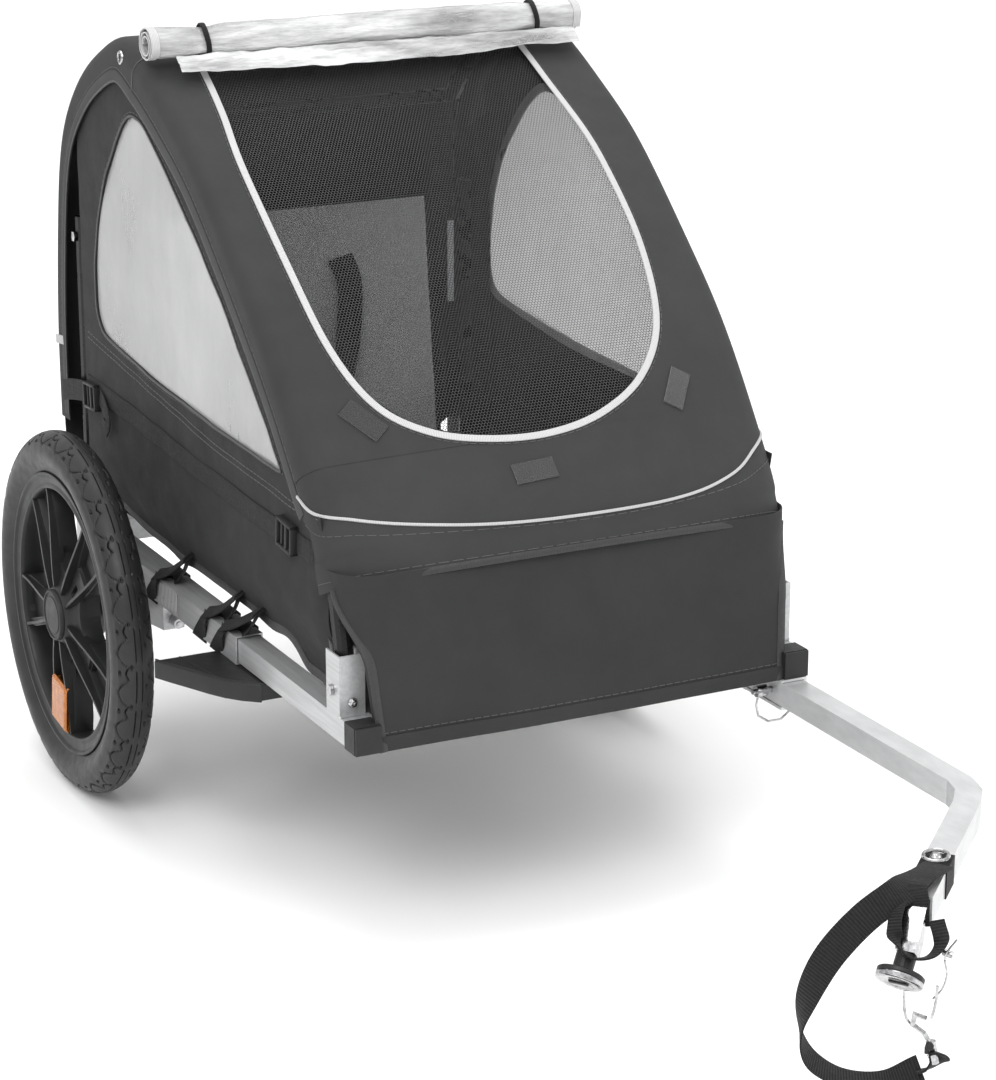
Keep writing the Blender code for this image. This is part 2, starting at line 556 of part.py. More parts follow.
def build_cabin():
    canopy = add("canopy", cabin_skin(CABIN_HALF, 0, 8, 0, len(PROFILE), CLOTH), "canvas")
    window = []
    for share in range(-9, 10):
        x = 0.190 * math.sin(math.radians(share * 10))
        window.append((x, 0.045 - 0.125 * math.cos(math.radians(share * 10))))
    window += [(0.196, 0.15), (0.190, 0.26), (0.180, 0.345), (-0.180, 0.345), (-0.190, 0.26), (-0.196, 0.15)]

    def on_front(a, b, t):
        return Vector((a, 0, 0)) + WINDOW_BASE + WINDOW_UP * b + WINDOW_OUT * (t - 0.06)

    cut(canopy, prism(window, on_front, 0.12))
    add("window_screen", cabin_skin(0.204, 0.0045, 6, 2, 9, 0.0012), "mesh")
    for side, sign in (("left", -1), ("right", 1)):
        def upright(a, b, t):
            return Vector((sign * (0.2484 + t), a, b))

        add("side_panel_" + side, prism(side_outline(0.0055), upright, 0.0024), "canvas")

    bottom = ((0.008, 0.2195, 0.2185), (0.010, 0.262, 0.2185), (0.012, 0.263, 0.2360), (0.020, 0.330, 0.2360),
              (0.0290, 0.3740, 0.2360))
    mesh = bmesh.new()
    rows = []
    for y, z, half in bottom:
        ring = ((-half, y, z), (half, y, z), (half, y + CLOTH, z), (-half, y + CLOTH, z))
        rows.append([mesh.verts.new(corner) for corner in ring])
    for low, high in zip(rows, rows[1:]):
        for i in range(4):
            mesh.faces.new((low[i], low[(i + 1) % 4], high[(i + 1) % 4], high[i]))
    mesh.faces.new(rows[0])
    mesh.faces.new(rows[-1])
    add("front_panel", mesh, "canvas")

    add("floor_panel", block((-0.2195, 0.034, 0.2500), (0.2195, 0.725, 0.2530)), "canvas")
    add("seat_base", block((-SEAT_HALF, 0.450, 0.318), (SEAT_HALF, 0.655, 0.330)), "lining")
    lean = ((0.662, 0.318), (0.674, 0.318), (0.716, 0.600), (0.704, 0.600))

    def reclined(a, b, t):
        return Vector((t - SEAT_HALF, a, b))

    add("seat_back", prism(lean, reclined, 2 * SEAT_HALF), "lining")
    add("rolled_cover", rod((-0.2480, 0.506, 0.8230), (0.2480, 0.506, 0.8230), 0.0200, 20), "vinyl")


def main():
    cage = empty_at("cage_fold_axis", (0, PIVOT_Y, PIVOT_Z))
    arm = empty_at("tow_arm_axis", (ARM_X, ARM_PIVOT_Y, ARM_Z))
    build_rails()
    build_cross_tubes()
    build_hoops(cage)
    for side, sign in (("left", -1), ("right", 1)):
        x = sign * RAIL_X
        build_post(side, x)
        build_upright(side, sign, empty_at("upright_axis_" + side, (x, UPRIGHT_Y, UPRIGHT_BASE_Z)))
        build_wheel(side, sign, empty_at("wheel_axis_" + side, (sign * WHEEL_X, AXLE_Y, AXLE_Z)))
        build_axle(side, sign, empty_at("axle_pin_axis_" + side, (x, 0.49, AXLE_Z)))
        build_guard(side, sign)
    build_tow_arm(arm, empty_at("arm_pin_axis", (ARM_X, ARM_PIN_Y, ARM_Z)),
                  empty_at("coupler_swivel_axis", KNUCKLE), empty_at("thumb_axis", THUMB))
    build_strap(arm)
    build_cabin()


main()
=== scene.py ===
"""Looks of the single-seat child bicycle trailer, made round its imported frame. Metres.

Lengths along Y are written from the front ends of the rails, as in the part's source, and
finished meshes are carried to the row frame by FRONT.
"""

import math

import bmesh
import bpy
from mathutils import Matrix, Vector, noise


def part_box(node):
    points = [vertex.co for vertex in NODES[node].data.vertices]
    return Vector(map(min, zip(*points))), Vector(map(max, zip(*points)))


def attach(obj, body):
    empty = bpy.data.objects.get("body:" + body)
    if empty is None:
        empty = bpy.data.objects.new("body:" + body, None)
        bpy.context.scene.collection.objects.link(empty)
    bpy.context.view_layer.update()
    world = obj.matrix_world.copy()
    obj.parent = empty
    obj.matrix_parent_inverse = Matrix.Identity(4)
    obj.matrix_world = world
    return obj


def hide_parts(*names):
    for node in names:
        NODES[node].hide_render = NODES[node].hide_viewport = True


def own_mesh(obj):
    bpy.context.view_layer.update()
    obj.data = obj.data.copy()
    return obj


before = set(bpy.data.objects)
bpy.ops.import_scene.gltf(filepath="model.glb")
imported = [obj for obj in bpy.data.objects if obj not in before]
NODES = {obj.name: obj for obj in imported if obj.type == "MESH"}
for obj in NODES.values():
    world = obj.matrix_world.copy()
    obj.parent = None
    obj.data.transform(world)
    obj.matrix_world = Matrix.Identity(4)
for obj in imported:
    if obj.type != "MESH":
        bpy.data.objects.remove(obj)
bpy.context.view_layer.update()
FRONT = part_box("rail_left")[0].y
SIDES = (("left", -1), ("right", 1))

# Driving dimensions, shared with the part
PROFILE = ((0.03, 0.378), (0.042, 0.402), (0.062, 0.43), (0.152, 0.536), (0.247, 0.626), (0.356, 0.716),
    (0.446, 0.768), (0.52, 0.802), (0.583, 0.82), (0.649, 0.8), (0.71, 0.764), (0.758, 0.717), (0.787, 0.656),
    (0.804, 0.57), (0.815, 0.46), (0.815, 0.36))
BULGE = (0.016, 0.022, 0.026, 0.02, 0.014, 0.008, 0.004)
WINDOW_BASE = Vector((0, 0.152, 0.536))
WINDOW_UP = Vector((0, 0.743, 0.669)).normalized()
CABIN_HALF = 0.2525
SHOULDER = 0.016
CLOTH = 0.0012
WHEEL_X, AXLE_Y, AXLE_Z = 0.3236, 0.58, 0.2
WHEEL_RADIUS, TYRE_HALF, BEAD_RADIUS = 0.2, 0.0235, 0.1565
SPOKES, SPOKE_ANGLE, REFLECTOR_SPOKE = 5, 118, 2
RAIL_X, RAIL_Z = 0.237, 0.235
ARM_X, ARM_Z, ARM_SIZE = 0.2332, 0.205, 0.025
KNUCKLE = Vector((0.03, -0.52, 0.184))
COUPLER_AXIS = Vector((-0.552, -0.383, -0.74)).normalized()
STRAP_ROUTE = ((0.094, -0.466, 0.2225), (0.062, -0.486, 0.226), (0.024, -0.503, 0.223), (-0.006, -0.5, 0.205),
    (-0.032, -0.49, 0.172), (-0.048, -0.483, 0.135), (-0.053, -0.482, 0.105), (-0.045, -0.487, 0.078),
    (-0.02, -0.5, 0.06), (0.012, -0.516, 0.056), (0.04, -0.53, 0.068))
STRAP_WIDTH, STRAP_THICK = 0.025, 0.0022
STITCH_STEP = 0.0022
FOLD_HEIGHT, FOLD_SHARE = 0.300, 0.16
ROLL_TURNS, ROLL_Y = 2.6, 0.506
SPOKE_OUTER = 0.1369
TREAD_REPEATS = 27
GUARD_TOP = 0.2195


# ---------------------------------------------------------------- camera
def build_camera():
    camera = bpy.data.objects.new("camera", bpy.data.cameras.new("camera"))
    bpy.context.scene.collection.objects.link(camera)
    camera.location = (-1.3959, -2.699, 1.3247)
    camera.rotation_mode = "QUATERNION"
    camera.rotation_quaternion = Vector((0.42991, 0.85093, -0.30183)).to_track_quat("-Z", "Y")
    camera.data.lens = 106.18
    camera.data.sensor_width = 36
    bpy.context.scene.camera = camera


build_camera()


# ---------------------------------------------------------------- materials
class Finish:
    """A Principled material with small helpers for procedural patterns."""

    def __init__(self, name, **sockets):
        self.material = bpy.data.materials.new(name)
        self.material.use_nodes = True
        self.tree = self.material.node_tree
        self.shader = self.tree.nodes["Principled BSDF"]
        self.places = self.node("ShaderNodeTexCoord")
        for name, value in sockets.items():
            self.shader.inputs[name.replace("_", " ")].default_value = value
        self.normal = None

    def node(self, kind, inputs=None, **settings):
        made = self.tree.nodes.new(kind)
        for key, value in settings.items():
            setattr(made, key, value)
        for key, value in (inputs or {}).items():
            self.feed(made.inputs[key], value)
        return made

    def feed(self, socket, value):
        if isinstance(value, bpy.types.NodeSocket):
            self.tree.links.new(value, socket)
        else:
            socket.default_value = value

    def spot(self, space="Object", stretch=(1, 1, 1), turn=0.0):
        mapping = self.node("ShaderNodeMapping", {"Vector": self.places.outputs[space]})
        mapping.inputs["Scale"].default_value = stretch
        mapping.inputs["Rotation"].default_value = (0, 0, turn)
        return mapping.outputs[0]

    def noise(self, scale, detail=4.0, stretch=(1, 1, 1), space="Object", roughness=0.6):
        made = self.node("ShaderNodeTexNoise", {"Vector": self.spot(space, stretch), "Scale": scale,
            "Detail": detail, "Roughness": roughness})
        return made.outputs["Fac"]

    def bands(self, pitch, direction="X", space="UV", turn=0.0, distortion=0.0):
        """Ridges of that pitch in metres."""
        made = self.node("ShaderNodeTexWave", {"Vector": self.spot(space, turn=turn),
            "Scale": math.tau / 20 / pitch, "Distortion": distortion}, wave_type="BANDS",
            bands_direction=direction)
        return made.outputs["Fac"]

    def maths(self, operation, a, b=0.0):
        made = self.node("ShaderNodeMath", operation=operation)
        self.feed(made.inputs[0], a)
        self.feed(made.inputs[1], b)
        return made.outputs[0]

    def between(self, factor, low, high, start=0.0, end=1.0):
        made = self.node("ShaderNodeMapRange", {"Value": factor, "From Min": start, "From Max": end,
            "To Min": low, "To Max": high})
        return made.outputs[0]

    def colour(self, factor, low, high, start=0.3, end=0.7):
        ramp = self.node("ShaderNodeValToRGB", {"Fac": factor})
        ramp.color_ramp.elements[0].position, ramp.color_ramp.elements[1].position = start, end
        ramp.color_ramp.elements[0].color = (*low, 1)
        ramp.color_ramp.elements[1].color = (*high, 1)
        self.feed(self.shader.inputs["Base Color"], ramp.outputs["Color"])

    def rough(self, factor, low, high):
        self.feed(self.shader.inputs["Roughness"], self.between(factor, low, high, 0.3, 0.7))

    def bump(self, height, distance, strength=1.0):
        made = self.node("ShaderNodeBump", {"Height": height, "Distance": distance, "Strength": strength})
        if self.normal:
            self.feed(made.inputs["Normal"], self.normal)
        self.normal = made.outputs["Normal"]
        self.feed(self.shader.inputs["Normal"], self.normal)


def grey(value, tint=0.0):
    return (value, value * (1 + tint * 0.5), value * (1 + tint))


def woven(name, shade, pitch=0.001, sheen=0.03, roughness=0.78, gloss=0.22):
    """Coated plain weave, a little lighter where it has been rubbed."""
    made = Finish(name, Sheen_Weight=sheen, Sheen_Roughness=0.5, Specular_IOR_Level=gloss)
    rubbed = made.noise(9, 5)
    made.colour(rubbed, grey(shade * 0.9, 0.02), grey(shade * 1.1, 0.02))
    made.rough(made.noise(40), roughness - 0.05, roughness + 0.06)
    weave = made.maths("MULTIPLY", made.bands(pitch, "X"), made.bands(pitch, "Y"))
    made.bump(made.noise(16, 3), 0.004, 0.35)
    made.bump(weave, 0.0002, 0.5)
    return made.material


def webbing(name, shade, pitch=0.0028, direction="Y"):
    made = Finish(name, Sheen_Weight=0.05, Sheen_Roughness=0.4, Specular_IOR_Level=0.25)
    ribs = made.bands(pitch, direction)
    made.colour(ribs, grey(shade * 0.45), grey(shade * 1.5), 0.1, 0.9)
    made.rough(made.noise(300), 0.62, 0.85)
    fine = made.maths("MULTIPLY", ribs, made.bands(pitch / 2, "X" if direction == "Y" else "Y"))
    made.bump(fine, 0.0006, 0.9)
    return made.material


def metal(name, low, high, roughness, grain=(1, 1, 1), scale=260, clear=0.0, solid=1.0):
    """Satin metal with fine drawing marks along the tube and a few handling smears."""
    made = Finish(name, Metallic=solid, Coat_Weight=clear, Coat_Roughness=0.2)
    marks = made.noise(scale, 6, grain)
    made.colour(marks, low, high)
    made.rough(made.noise(14, 4), roughness - 0.05, roughness + 0.08)
    made.bump(marks, 0.00012, 0.35)
    return made.material


def moulded(name, shade, roughness=0.48, texture=900, depth=0.00008):
    made = Finish(name, Specular_IOR_Level=0.32)
    made.colour(made.noise(22, 5), grey(shade * 0.85, 0.04), grey(shade * 1.2, 0.04))
    made.rough(made.noise(60), roughness - 0.06, roughness + 0.08)
    made.bump(made.noise(texture, 2), depth, 0.7)
    return made.material


def rubber(name, shade):
    made = Finish(name, Specular_IOR_Level=0.34)
    dust = made.noise(38, 6)
    made.colour(dust, grey(shade * 0.8), grey(shade * 1.35, -0.02))
    made.rough(made.noise(90), 0.36, 0.52)
    made.bump(made.noise(1400, 2), 0.00008, 0.6)
    return made.material


def hex_mesh():
    """Open black netting: threads between round holes set in a honeycomb."""
    made = Finish("netting", Roughness=0.7, Specular_IOR_Level=0.3)
    pitch = 0.0034
    spot = made.spot("UV", (1 / pitch, 1 / pitch, 1))
    apart = made.node("ShaderNodeSeparateXYZ", {"Vector": spot})
    across, along = apart.outputs["X"], made.maths("DIVIDE", apart.outputs["Y"], 0.866)
    row = made.maths("FLOOR", made.maths("ADD", along, 0.5))
    shift = made.maths("MULTIPLY", made.maths("MODULO", made.maths("ABSOLUTE", row), 2.0), 0.5)
    a = made.maths("SUBTRACT", made.maths("FRACT", made.maths("ADD", made.maths("ADD", across, shift),
        100.5)), 0.5)
    b = made.maths("MULTIPLY", made.maths("SUBTRACT", along, row), 0.866)
    far = made.maths("SQRT", made.maths("ADD", made.maths("MULTIPLY", a, a), made.maths("MULTIPLY", b, b)))
    solid = made.between(far, 0.0, 1.0, 0.4, 0.455)
    made.feed(made.shader.inputs["Alpha"], solid)
    made.colour(made.noise(500), grey(0.035), grey(0.07))
    made.bump(far, 0.0004, 0.6)
    return made.material


def clear_film(name, alpha, tint, wrinkle=0.006, roughness=0.1, scale=7):
    made = Finish(name, Alpha=alpha, IOR=1.5, Specular_IOR_Level=0.6)
    folds = made.noise(scale, 5, (1, 1, 0.6))
    made.colour(folds, grey(tint * 0.85, 0.01), grey(min(1, tint * 1.1), 0.01))
    made.rough(made.noise(30), roughness, roughness + 0.1)
    made.bump(folds, wrinkle, 0.5)
    return made.material


def crinkled_vinyl():
    made = Finish("rolled_film", IOR=1.5, Specular_IOR_Level=0.8, Coat_Weight=0.4, Coat_Roughness=0.05)
    folds = made.noise(30, 5, (0.22, 1, 1), roughness=0.65)
    # The colour runs from dark in the creases to light on the ridges: painted crease shade and painted
    # highlights on the clear film.
    made.colour(folds, grey(0.34, 0.01), grey(0.74, 0.01), 0.36, 0.64)
    made.feed(made.shader.inputs["Alpha"], made.between(folds, 0.5, 0.82, 0.35, 0.65))
    made.rough(made.noise(60), 0.05, 0.16)
    made.bump(folds, 0.01, 0.9)
    return made.material


def prisms():
    made = Finish("amber_prisms", Coat_Weight=0.35, Coat_Roughness=0.06, IOR=1.5)
    cells = made.node("ShaderNodeTexChecker", {"Vector": made.spot("UV"), "Scale": 520.0}).outputs["Fac"]
    made.colour(made.maths("ADD", made.maths("MULTIPLY", cells, 0.35), made.noise(160)), (0.2, 0.045, 0.003),
        (0.62, 0.2, 0.015), 0.35, 0.95)
    made.rough(made.noise(80), 0.12, 0.25)
    made.bump(cells, 0.0006, 0.6)
    return made.material


def grosgrain(name, shade):
    """Ribbed binding tape."""
    made = Finish(name, Sheen_Weight=0.1)
    ribs = made.bands(0.0016, "Y")
    made.colour(ribs, grey(shade * 0.8), grey(shade * 1.08), 0.1, 0.9)
    made.rough(made.noise(200), 0.45, 0.62)
    made.bump(ribs, 0.0003, 0.7)
    return made.material


def hooked(name, shade):
    made = Finish(name, Sheen_Weight=0.5)
    loops = made.noise(1500, 3)
    made.colour(loops, grey(shade * 0.5), grey(shade * 1.8))
    made.rough(loops, 0.85, 1.0)
    made.bump(loops, 0.0009, 1.0)
    return made.material


def printed_label():
    """Clear ribbed sticker with blank grey bars."""
    made = Finish("sticker", Roughness=0.3, Alpha=0.85)
    bars = made.bands(0.0042, "Y")
    made.colour(bars, grey(0.25), grey(0.7), 0.45, 0.55)
    made.rough(made.noise(90), 0.25, 0.4)
    return made.material


LOOKS = {
    "canopy": woven("canopy_weave", 0.034),
    # Darker copy of the canopy's cloth for the side and rear panels: painted shade, since the sides stand in
    # shade.
    "side": woven("shaded_side_weave", 0.016, roughness=0.72),
    "panel": woven("front_weave", 0.028),
    "band": woven("band_weave", 0.05),
    "inner": woven("inner_weave", 0.012),
    "lining": woven("seat_nylon", 0.42, roughness=0.38, sheen=0.0, gloss=0.6),
    "black": webbing("black_webbing", 0.012),
    "tape": grosgrain("grey_binding", 0.5),
    "dark_tape": grosgrain("dark_binding", 0.02),
    "reflective": grosgrain("reflective_piping", 0.45),
    "thread": grosgrain("thread", 0.07),
    "netting": hex_mesh(),
    "film": clear_film("window_film", 0.46, 0.62),
    "roll": crinkled_vinyl(),
    "hook": hooked("hook_patch", 0.012),
    "silver": metal("drawn_aluminium", (0.42, 0.425, 0.43), (0.54, 0.545, 0.55), 0.34, (1, 0.05, 1),
                    solid=0.5),
    "pale": metal("anodised_arm", (0.5, 0.505, 0.51), (0.6, 0.605, 0.61), 0.38, (0.6, 0.3, 1), 90,
                  solid=0.6),
    "steel": metal("bright_plate", (0.28, 0.28, 0.285), (0.6, 0.6, 0.61), 0.14),
    "paint": moulded("tube_paint", 0.01, 0.28, 500, 0.00005),
    "plastic": moulded("black_moulding", 0.015),
    "rim": moulded("rim_moulding", 0.014, 0.42),
    "tyre": rubber("tyre_rubber", 0.017),
    # Near-black rubber laid into the tread's cuts: painted shade in the grooves.
    "groove_shade": rubber("painted_groove_shade", 0.003),
    "rubber": rubber("bush_rubber", 0.012),
    "amber": prisms(),
    "sticker": printed_label(),
    "elastic": webbing("elastic", 0.010, 0.0012, "X"),
}


# ---------------------------------------------------------------- mesh tools
def lerp(a, b, t):
    return a + (b - a) * t


def ease(t):
    t = min(max(t, 0.0), 1.0)
    return t * t * (3 - 2 * t)


def spread(low, high, count):
    """The values from low to high in that many even steps."""
    return [lerp(low, high, i / count) for i in range(count + 1)]


def spline(a, b, c, d, t):
    """A Catmull-Rom curve's point between b and c."""
    return 0.5 * (2 * b + (c - a) * t + (2 * a - 5 * b + 4 * c - d) * t ** 2 + (3 * b - a - 3 * c + d)
        * t ** 3)


def smooth(points, steps):
    """A curve through the points."""
    points = [Vector(p) for p in points]
    padded = [2 * points[0] - points[1]] + points + [2 * points[-1] - points[-2]]
    curve = [spline(*four, i / steps) for four in zip(padded, padded[1:], padded[2:], padded[3:])
        for i in range(steps)]
    return curve + [points[-1]]


def sheet_mesh(rows, wrap=False, joined=False):
    """A grid of quads with UVs in metres. wrap joins each row's ends, joined the first and last rows."""
    mesh = bmesh.new()
    verts = [[mesh.verts.new(point) for point in row] for row in rows]
    uv = mesh.loops.layers.uv.new("UVMap")
    across = [[0.0] for _ in rows]
    for i, row in enumerate(rows):
        for a, b in zip(row, row[1:]):
            across[i].append(across[i][-1] + (b - a).length)
        if wrap:
            across[i].append(across[i][-1] + (row[0] - row[-1]).length)
    middle = len(rows[0]) // 2
    along = [0.0]
    for low, high in zip(rows, rows[1:] + ([rows[0]] if joined else [])):
        along.append(along[-1] + (high[middle] - low[middle]).length)
    count = len(rows[0])
    for i in range(len(rows) - (0 if joined else 1)):
        k = (i + 1) % len(rows)
        for j in range(count if wrap else count - 1):
            m = (j + 1) % count
            face = mesh.faces.new((verts[i][j], verts[i][m], verts[k][m], verts[k][j]))
            for loop, (u, v) in zip(face.loops, ((across[i][j], along[i]), (across[i][j + 1], along[i]),
                    (across[i][j + 1], along[i + 1]), (across[i][j], along[i + 1]))):
                loop[uv].uv = (u, v)
    return mesh


def ends_capped(mesh):
    bmesh.ops.holes_fill(mesh, edges=[e for e in mesh.edges if e.is_boundary], sides=0)
    bmesh.ops.recalc_face_normals(mesh, faces=mesh.faces)
    return mesh


def framed(path, ups):
    """Path points with the direction across and the given outward direction squared to the path."""
    frames = []
    for i, point in enumerate(path):
        ahead = (path[min(i + 1, len(path) - 1)] - path[max(i - 1, 0)]).normalized()
        up = ups[i] if isinstance(ups, list) else Vector(ups)
        side = ahead.cross(up).normalized()
        frames.append((point, side, side.cross(ahead).normalized()))
    return frames


def bar(path, ups, section, closed=False):
    """A section of (across, outward) pairs carried along the path."""
    path = [Vector(p) for p in path]
    rows = [[point + side * a + up * b for a, b in section] for point, side, up in framed(path, ups)]
    mesh = sheet_mesh(rows, wrap=True, joined=closed)
    return mesh if closed else ends_capped(mesh)


def flat_section(width, thick, crown=0.0):
    half, low, high = width / 2, -thick / 2, thick / 2
    edge = min(half * 0.12, thick)
    return [(half, low * 0.6), (half, high * 0.6), (half - edge, high + crown * 0.4), (0, high + crown),
        (edge - half, high + crown * 0.4), (-half, high * 0.6), (-half, low * 0.6), (edge - half, low),
        (0, low), (half - edge, low)]


def ring_section(radius, sides=10):
    return [(radius * math.cos(math.tau * i / sides), radius * math.sin(math.tau * i / sides))
        for i in range(sides)]


def round_bar(path, radius, sides=10, up=(0, 0, 1), closed=False):
    return bar(path, up, ring_section(radius, sides), closed)


def turned(profile, centre, axis, steps):
    """An (along, radius) profile turned round the axis."""
    axis = Vector(axis).normalized()
    outward = axis.orthogonal().normalized()
    rows = []
    for i in range(steps):
        spin = Matrix.Rotation(math.tau * i / steps, 3, axis)
        rows.append([Vector(centre) + axis * a + (spin @ outward) * max(r, 0.00001) for a, r in profile])
    mesh = sheet_mesh(rows, joined=True)
    bmesh.ops.remove_doubles(mesh, verts=mesh.verts, dist=0.00003)
    bmesh.ops.recalc_face_normals(mesh, faces=mesh.faces)
    return mesh


def block(low, high, radius=0.0, segments=3):
    mesh = bmesh.new()
    bmesh.ops.create_cube(mesh, size=1)
    low, high = Vector(low), Vector(high)
    bmesh.ops.scale(mesh, vec=high - low, verts=mesh.verts)
    bmesh.ops.translate(mesh, vec=(low + high) / 2, verts=mesh.verts)
    if radius:
        bmesh.ops.bevel(mesh, geom=mesh.edges[:], offset=radius, segments=segments, profile=0.5,
            affect="EDGES")
    return mesh


def prism(outline, place, depth):
    mesh = bmesh.new()
    near = [mesh.verts.new(place(a, b, 0)) for a, b in outline]
    far = [mesh.verts.new(place(a, b, depth)) for a, b in outline]
    mesh.faces.new(near)
    mesh.faces.new(far)
    for i in range(len(near)):
        j = (i + 1) % len(near)
        mesh.faces.new((near[i], near[j], far[j], far[i]))
    bmesh.ops.recalc_face_normals(mesh, faces=mesh.faces)
    return mesh


def joined_mesh(*meshes):
    made = bmesh.new()
    for mesh in meshes:
        data = bpy.data.meshes.new("piece")
        mesh.to_mesh(data)
        mesh.free()
        made.from_mesh(data)
        bpy.data.meshes.remove(data)
    return made


def raw(name, mesh, look):
    """An object in the row frame, with its modifiers still to come."""
    data = bpy.data.meshes.new(name)
    mesh.to_mesh(data)
    mesh.free()
    data.transform(Matrix.Translation((0, FRONT, 0)))
    made = bpy.data.objects.new(name, data)
    bpy.context.scene.collection.objects.link(made)
    data.materials.append(LOOKS[look])
    return made


def baked(piece):
    """The same object with its modifiers applied."""
    bpy.context.view_layer.update()
    graph = bpy.context.evaluated_depsgraph_get()
    data = bpy.data.meshes.new_from_object(piece.evaluated_get(graph))
    faces = bmesh.new()
    faces.from_mesh(data)
    bmesh.ops.recalc_face_normals(faces, faces=faces.faces)
    faces.to_mesh(data)
    faces.free()
    piece.modifiers.clear()
    piece.data = data
    return piece


def thick(piece, amount, offset=0.0):
    step = piece.modifiers.new("cloth", "SOLIDIFY")
    step.thickness, step.offset = amount, offset
    return piece


def rounded(piece, width, segments=2, angle=35):
    step = piece.modifiers.new("edge", "BEVEL")
    step.width, step.segments, step.limit_method = width, segments, "ANGLE"
    step.angle_limit = math.radians(angle)
    return piece


def cut(piece, mesh, operation="DIFFERENCE"):
    """The piece with the cutter's shape taken away, or only what is inside it kept."""
    cutter = raw("cutter", mesh, "black")
    step = piece.modifiers.new("cut", "BOOLEAN")
    step.operation, step.object = operation, cutter
    baked(piece)
    bpy.data.objects.remove(cutter, do_unlink=True)
    return piece


def settle(piece, body, replaces=(), folds=False, angle=40):
    """Shading and body, and on cloth that crumples with the cage, a mesh of its own."""
    piece.data.shade_smooth()
    piece.data.set_sharp_from_angle(angle=math.radians(angle))
    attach(piece, body)
    if replaces:
        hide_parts(*replaces)
    if folds:
        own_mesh(piece)
    return piece


def made(name, mesh, look, body, slot=None, replaces=(), folds=False, angle=40):
    return settle(raw(name, mesh, look), body, replaces, folds, angle)


def on_cage(name, mesh, look, slot="canvas", replaces=()):
    return made(name, mesh, look, "chassis", slot, replaces, folds=True)


def strip(name, path, ups, section, look, slot="canvas", body="chassis", folds=True, closed=False):
    """Tape or webbing of that (width, thickness, crown) along a path."""
    return made(name, bar(path, ups, flat_section(*section), closed), look, body, slot, folds=folds)


def fabric(name, rows, look, thickness, body="chassis", replaces=(), folds=False, offset=0.0,
        angle=40):
    """A sheet of that thickness over a grid of points."""
    piece = thick(raw(name, sheet_mesh(rows), look), thickness, offset)
    return settle(baked(piece), body, replaces, folds, angle)


def square_ring(half, count=32):
    """Points round a square, from its lower corner."""
    corners = [(half, -half), (half, half), (-half, half), (-half, -half)]
    side = count // 4
    return [Vector(corners[k // side]).lerp(Vector(corners[(k // side + 1) % 4]), k % side / side)
        for k in range(count)]


# ---------------------------------------------------------------- strap, the one free cord
STRAP_TURNS = (0, 0, 0, 8, 22, 50, 92, 120, 118, 126, 152)


def build_strap():
    """The webbing hangs in a twisted loop: its face turns over once on the way round."""
    route = smooth(STRAP_ROUTE, 10)
    turns = [p.x for p in smooth([(turn, 0, 0) for turn in STRAP_TURNS], 10)]
    facing = Vector((-0.43, -0.85, 0.3)).normalized()
    ups = []
    for i, point in enumerate(route):
        ahead = (route[min(i + 1, len(route) - 1)] - route[max(i - 1, 0)]).normalized()
        across = ahead.cross(facing).normalized()
        turn = math.radians(turns[i])
        flat = 1 - ease((i - 6) / 18)
        ups.append(((facing * math.cos(turn) + across * math.sin(turn)).lerp(Vector((0, 0, 1)),
            flat)).normalized())
    strap = made("tow_strap", bar(route, ups, flat_section(STRAP_WIDTH + 0.002, STRAP_THICK)), "black",
        "tow_arm", "webbing", ["safety_strap"])


build_strap()


# ---------------------------------------------------------------- canopy surface
def profile_at(t):
    """The cabin's outline at knot t, with the direction along it and inwards."""
    if t < 0:
        place, ahead, inward = profile_at(0.0)
        return place + ahead * t * 0.027, ahead, inward
    t = min(t, len(PROFILE) - 1.0)
    i = min(int(t), len(PROFILE) - 2)
    a, b, c, d = (Vector(PROFILE[min(max(k, 0), len(PROFILE) - 1)]) for k in (i - 1, i, i + 1, i + 2))
    s = t - i
    place = spline(a, b, c, d, s)
    ahead = 0.5 * ((c - a) + 2 * (2 * a - 5 * b + 4 * c - d) * s + 3 * (3 * b - a - 3 * c + d) * s ** 2)
    ahead.normalize()
    return place, ahead, Vector((ahead.y, -ahead.x))


def bulge_at(t):
    t = max(t, 0.0)
    i = int(t)
    if i >= len(BULGE) - 1:
        return BULGE[-1] * max(0.0, 1 - (t - len(BULGE) + 1))
    return lerp(BULGE[i], BULGE[i + 1], t - i)


FLAT = CABIN_HALF - SHOULDER


def shoulder_at(t):
    """The radius on which the cloth turns down the side: wide over the front flap."""
    return lerp(0.044, SHOULDER, ease((t - 0.6) / 3.2))


FLAP_END = 0.1
PIPING = ((-0.275, 2.4), (-0.2417, 2.12), (-0.1492, 1.78), (-0.0263, 1.34), (0.0851, 1.36), (0.1842, 1.88),
    (0.2282, 2.18), (0.27, 2.42))


def canopy_point(t, u, lift=0.0):
    """A point on the cloth, u metres across it from the middle; past the shoulder it turns down the side."""
    place, _, inward = profile_at(t)
    sign, reach = (1 if u >= 0 else -1), abs(u)
    radius = shoulder_at(t)
    flat = CABIN_HALF - radius
    turn = min(max((reach - flat) / radius, 0.0), math.pi / 2)
    down = radius * (1 - math.cos(turn)) + max(reach - flat - radius * math.pi / 2, 0.0)
    x = min(reach, flat) + radius * math.sin(turn)
    bow = bulge_at(t) * (1 - min(reach / FLAT, 1.0) ** 2)
    soft = 0.0016 * noise.noise(Vector((u * 7, t * 0.9, 3.1))) * (1 - turn / math.pi)
    place = place + inward * (down - lift * math.cos(turn) - soft)
    return Vector((sign * (x + lift * math.sin(turn)), place.x - bow * 0.8, place.y + bow * 0.4))


def canopy_normal(t, u):
    step = 0.01
    along = canopy_point(t + step, u) - canopy_point(t - step, u)
    across = canopy_point(t, u + 0.001) - canopy_point(t, u - 0.001)
    return across.cross(along).normalized()


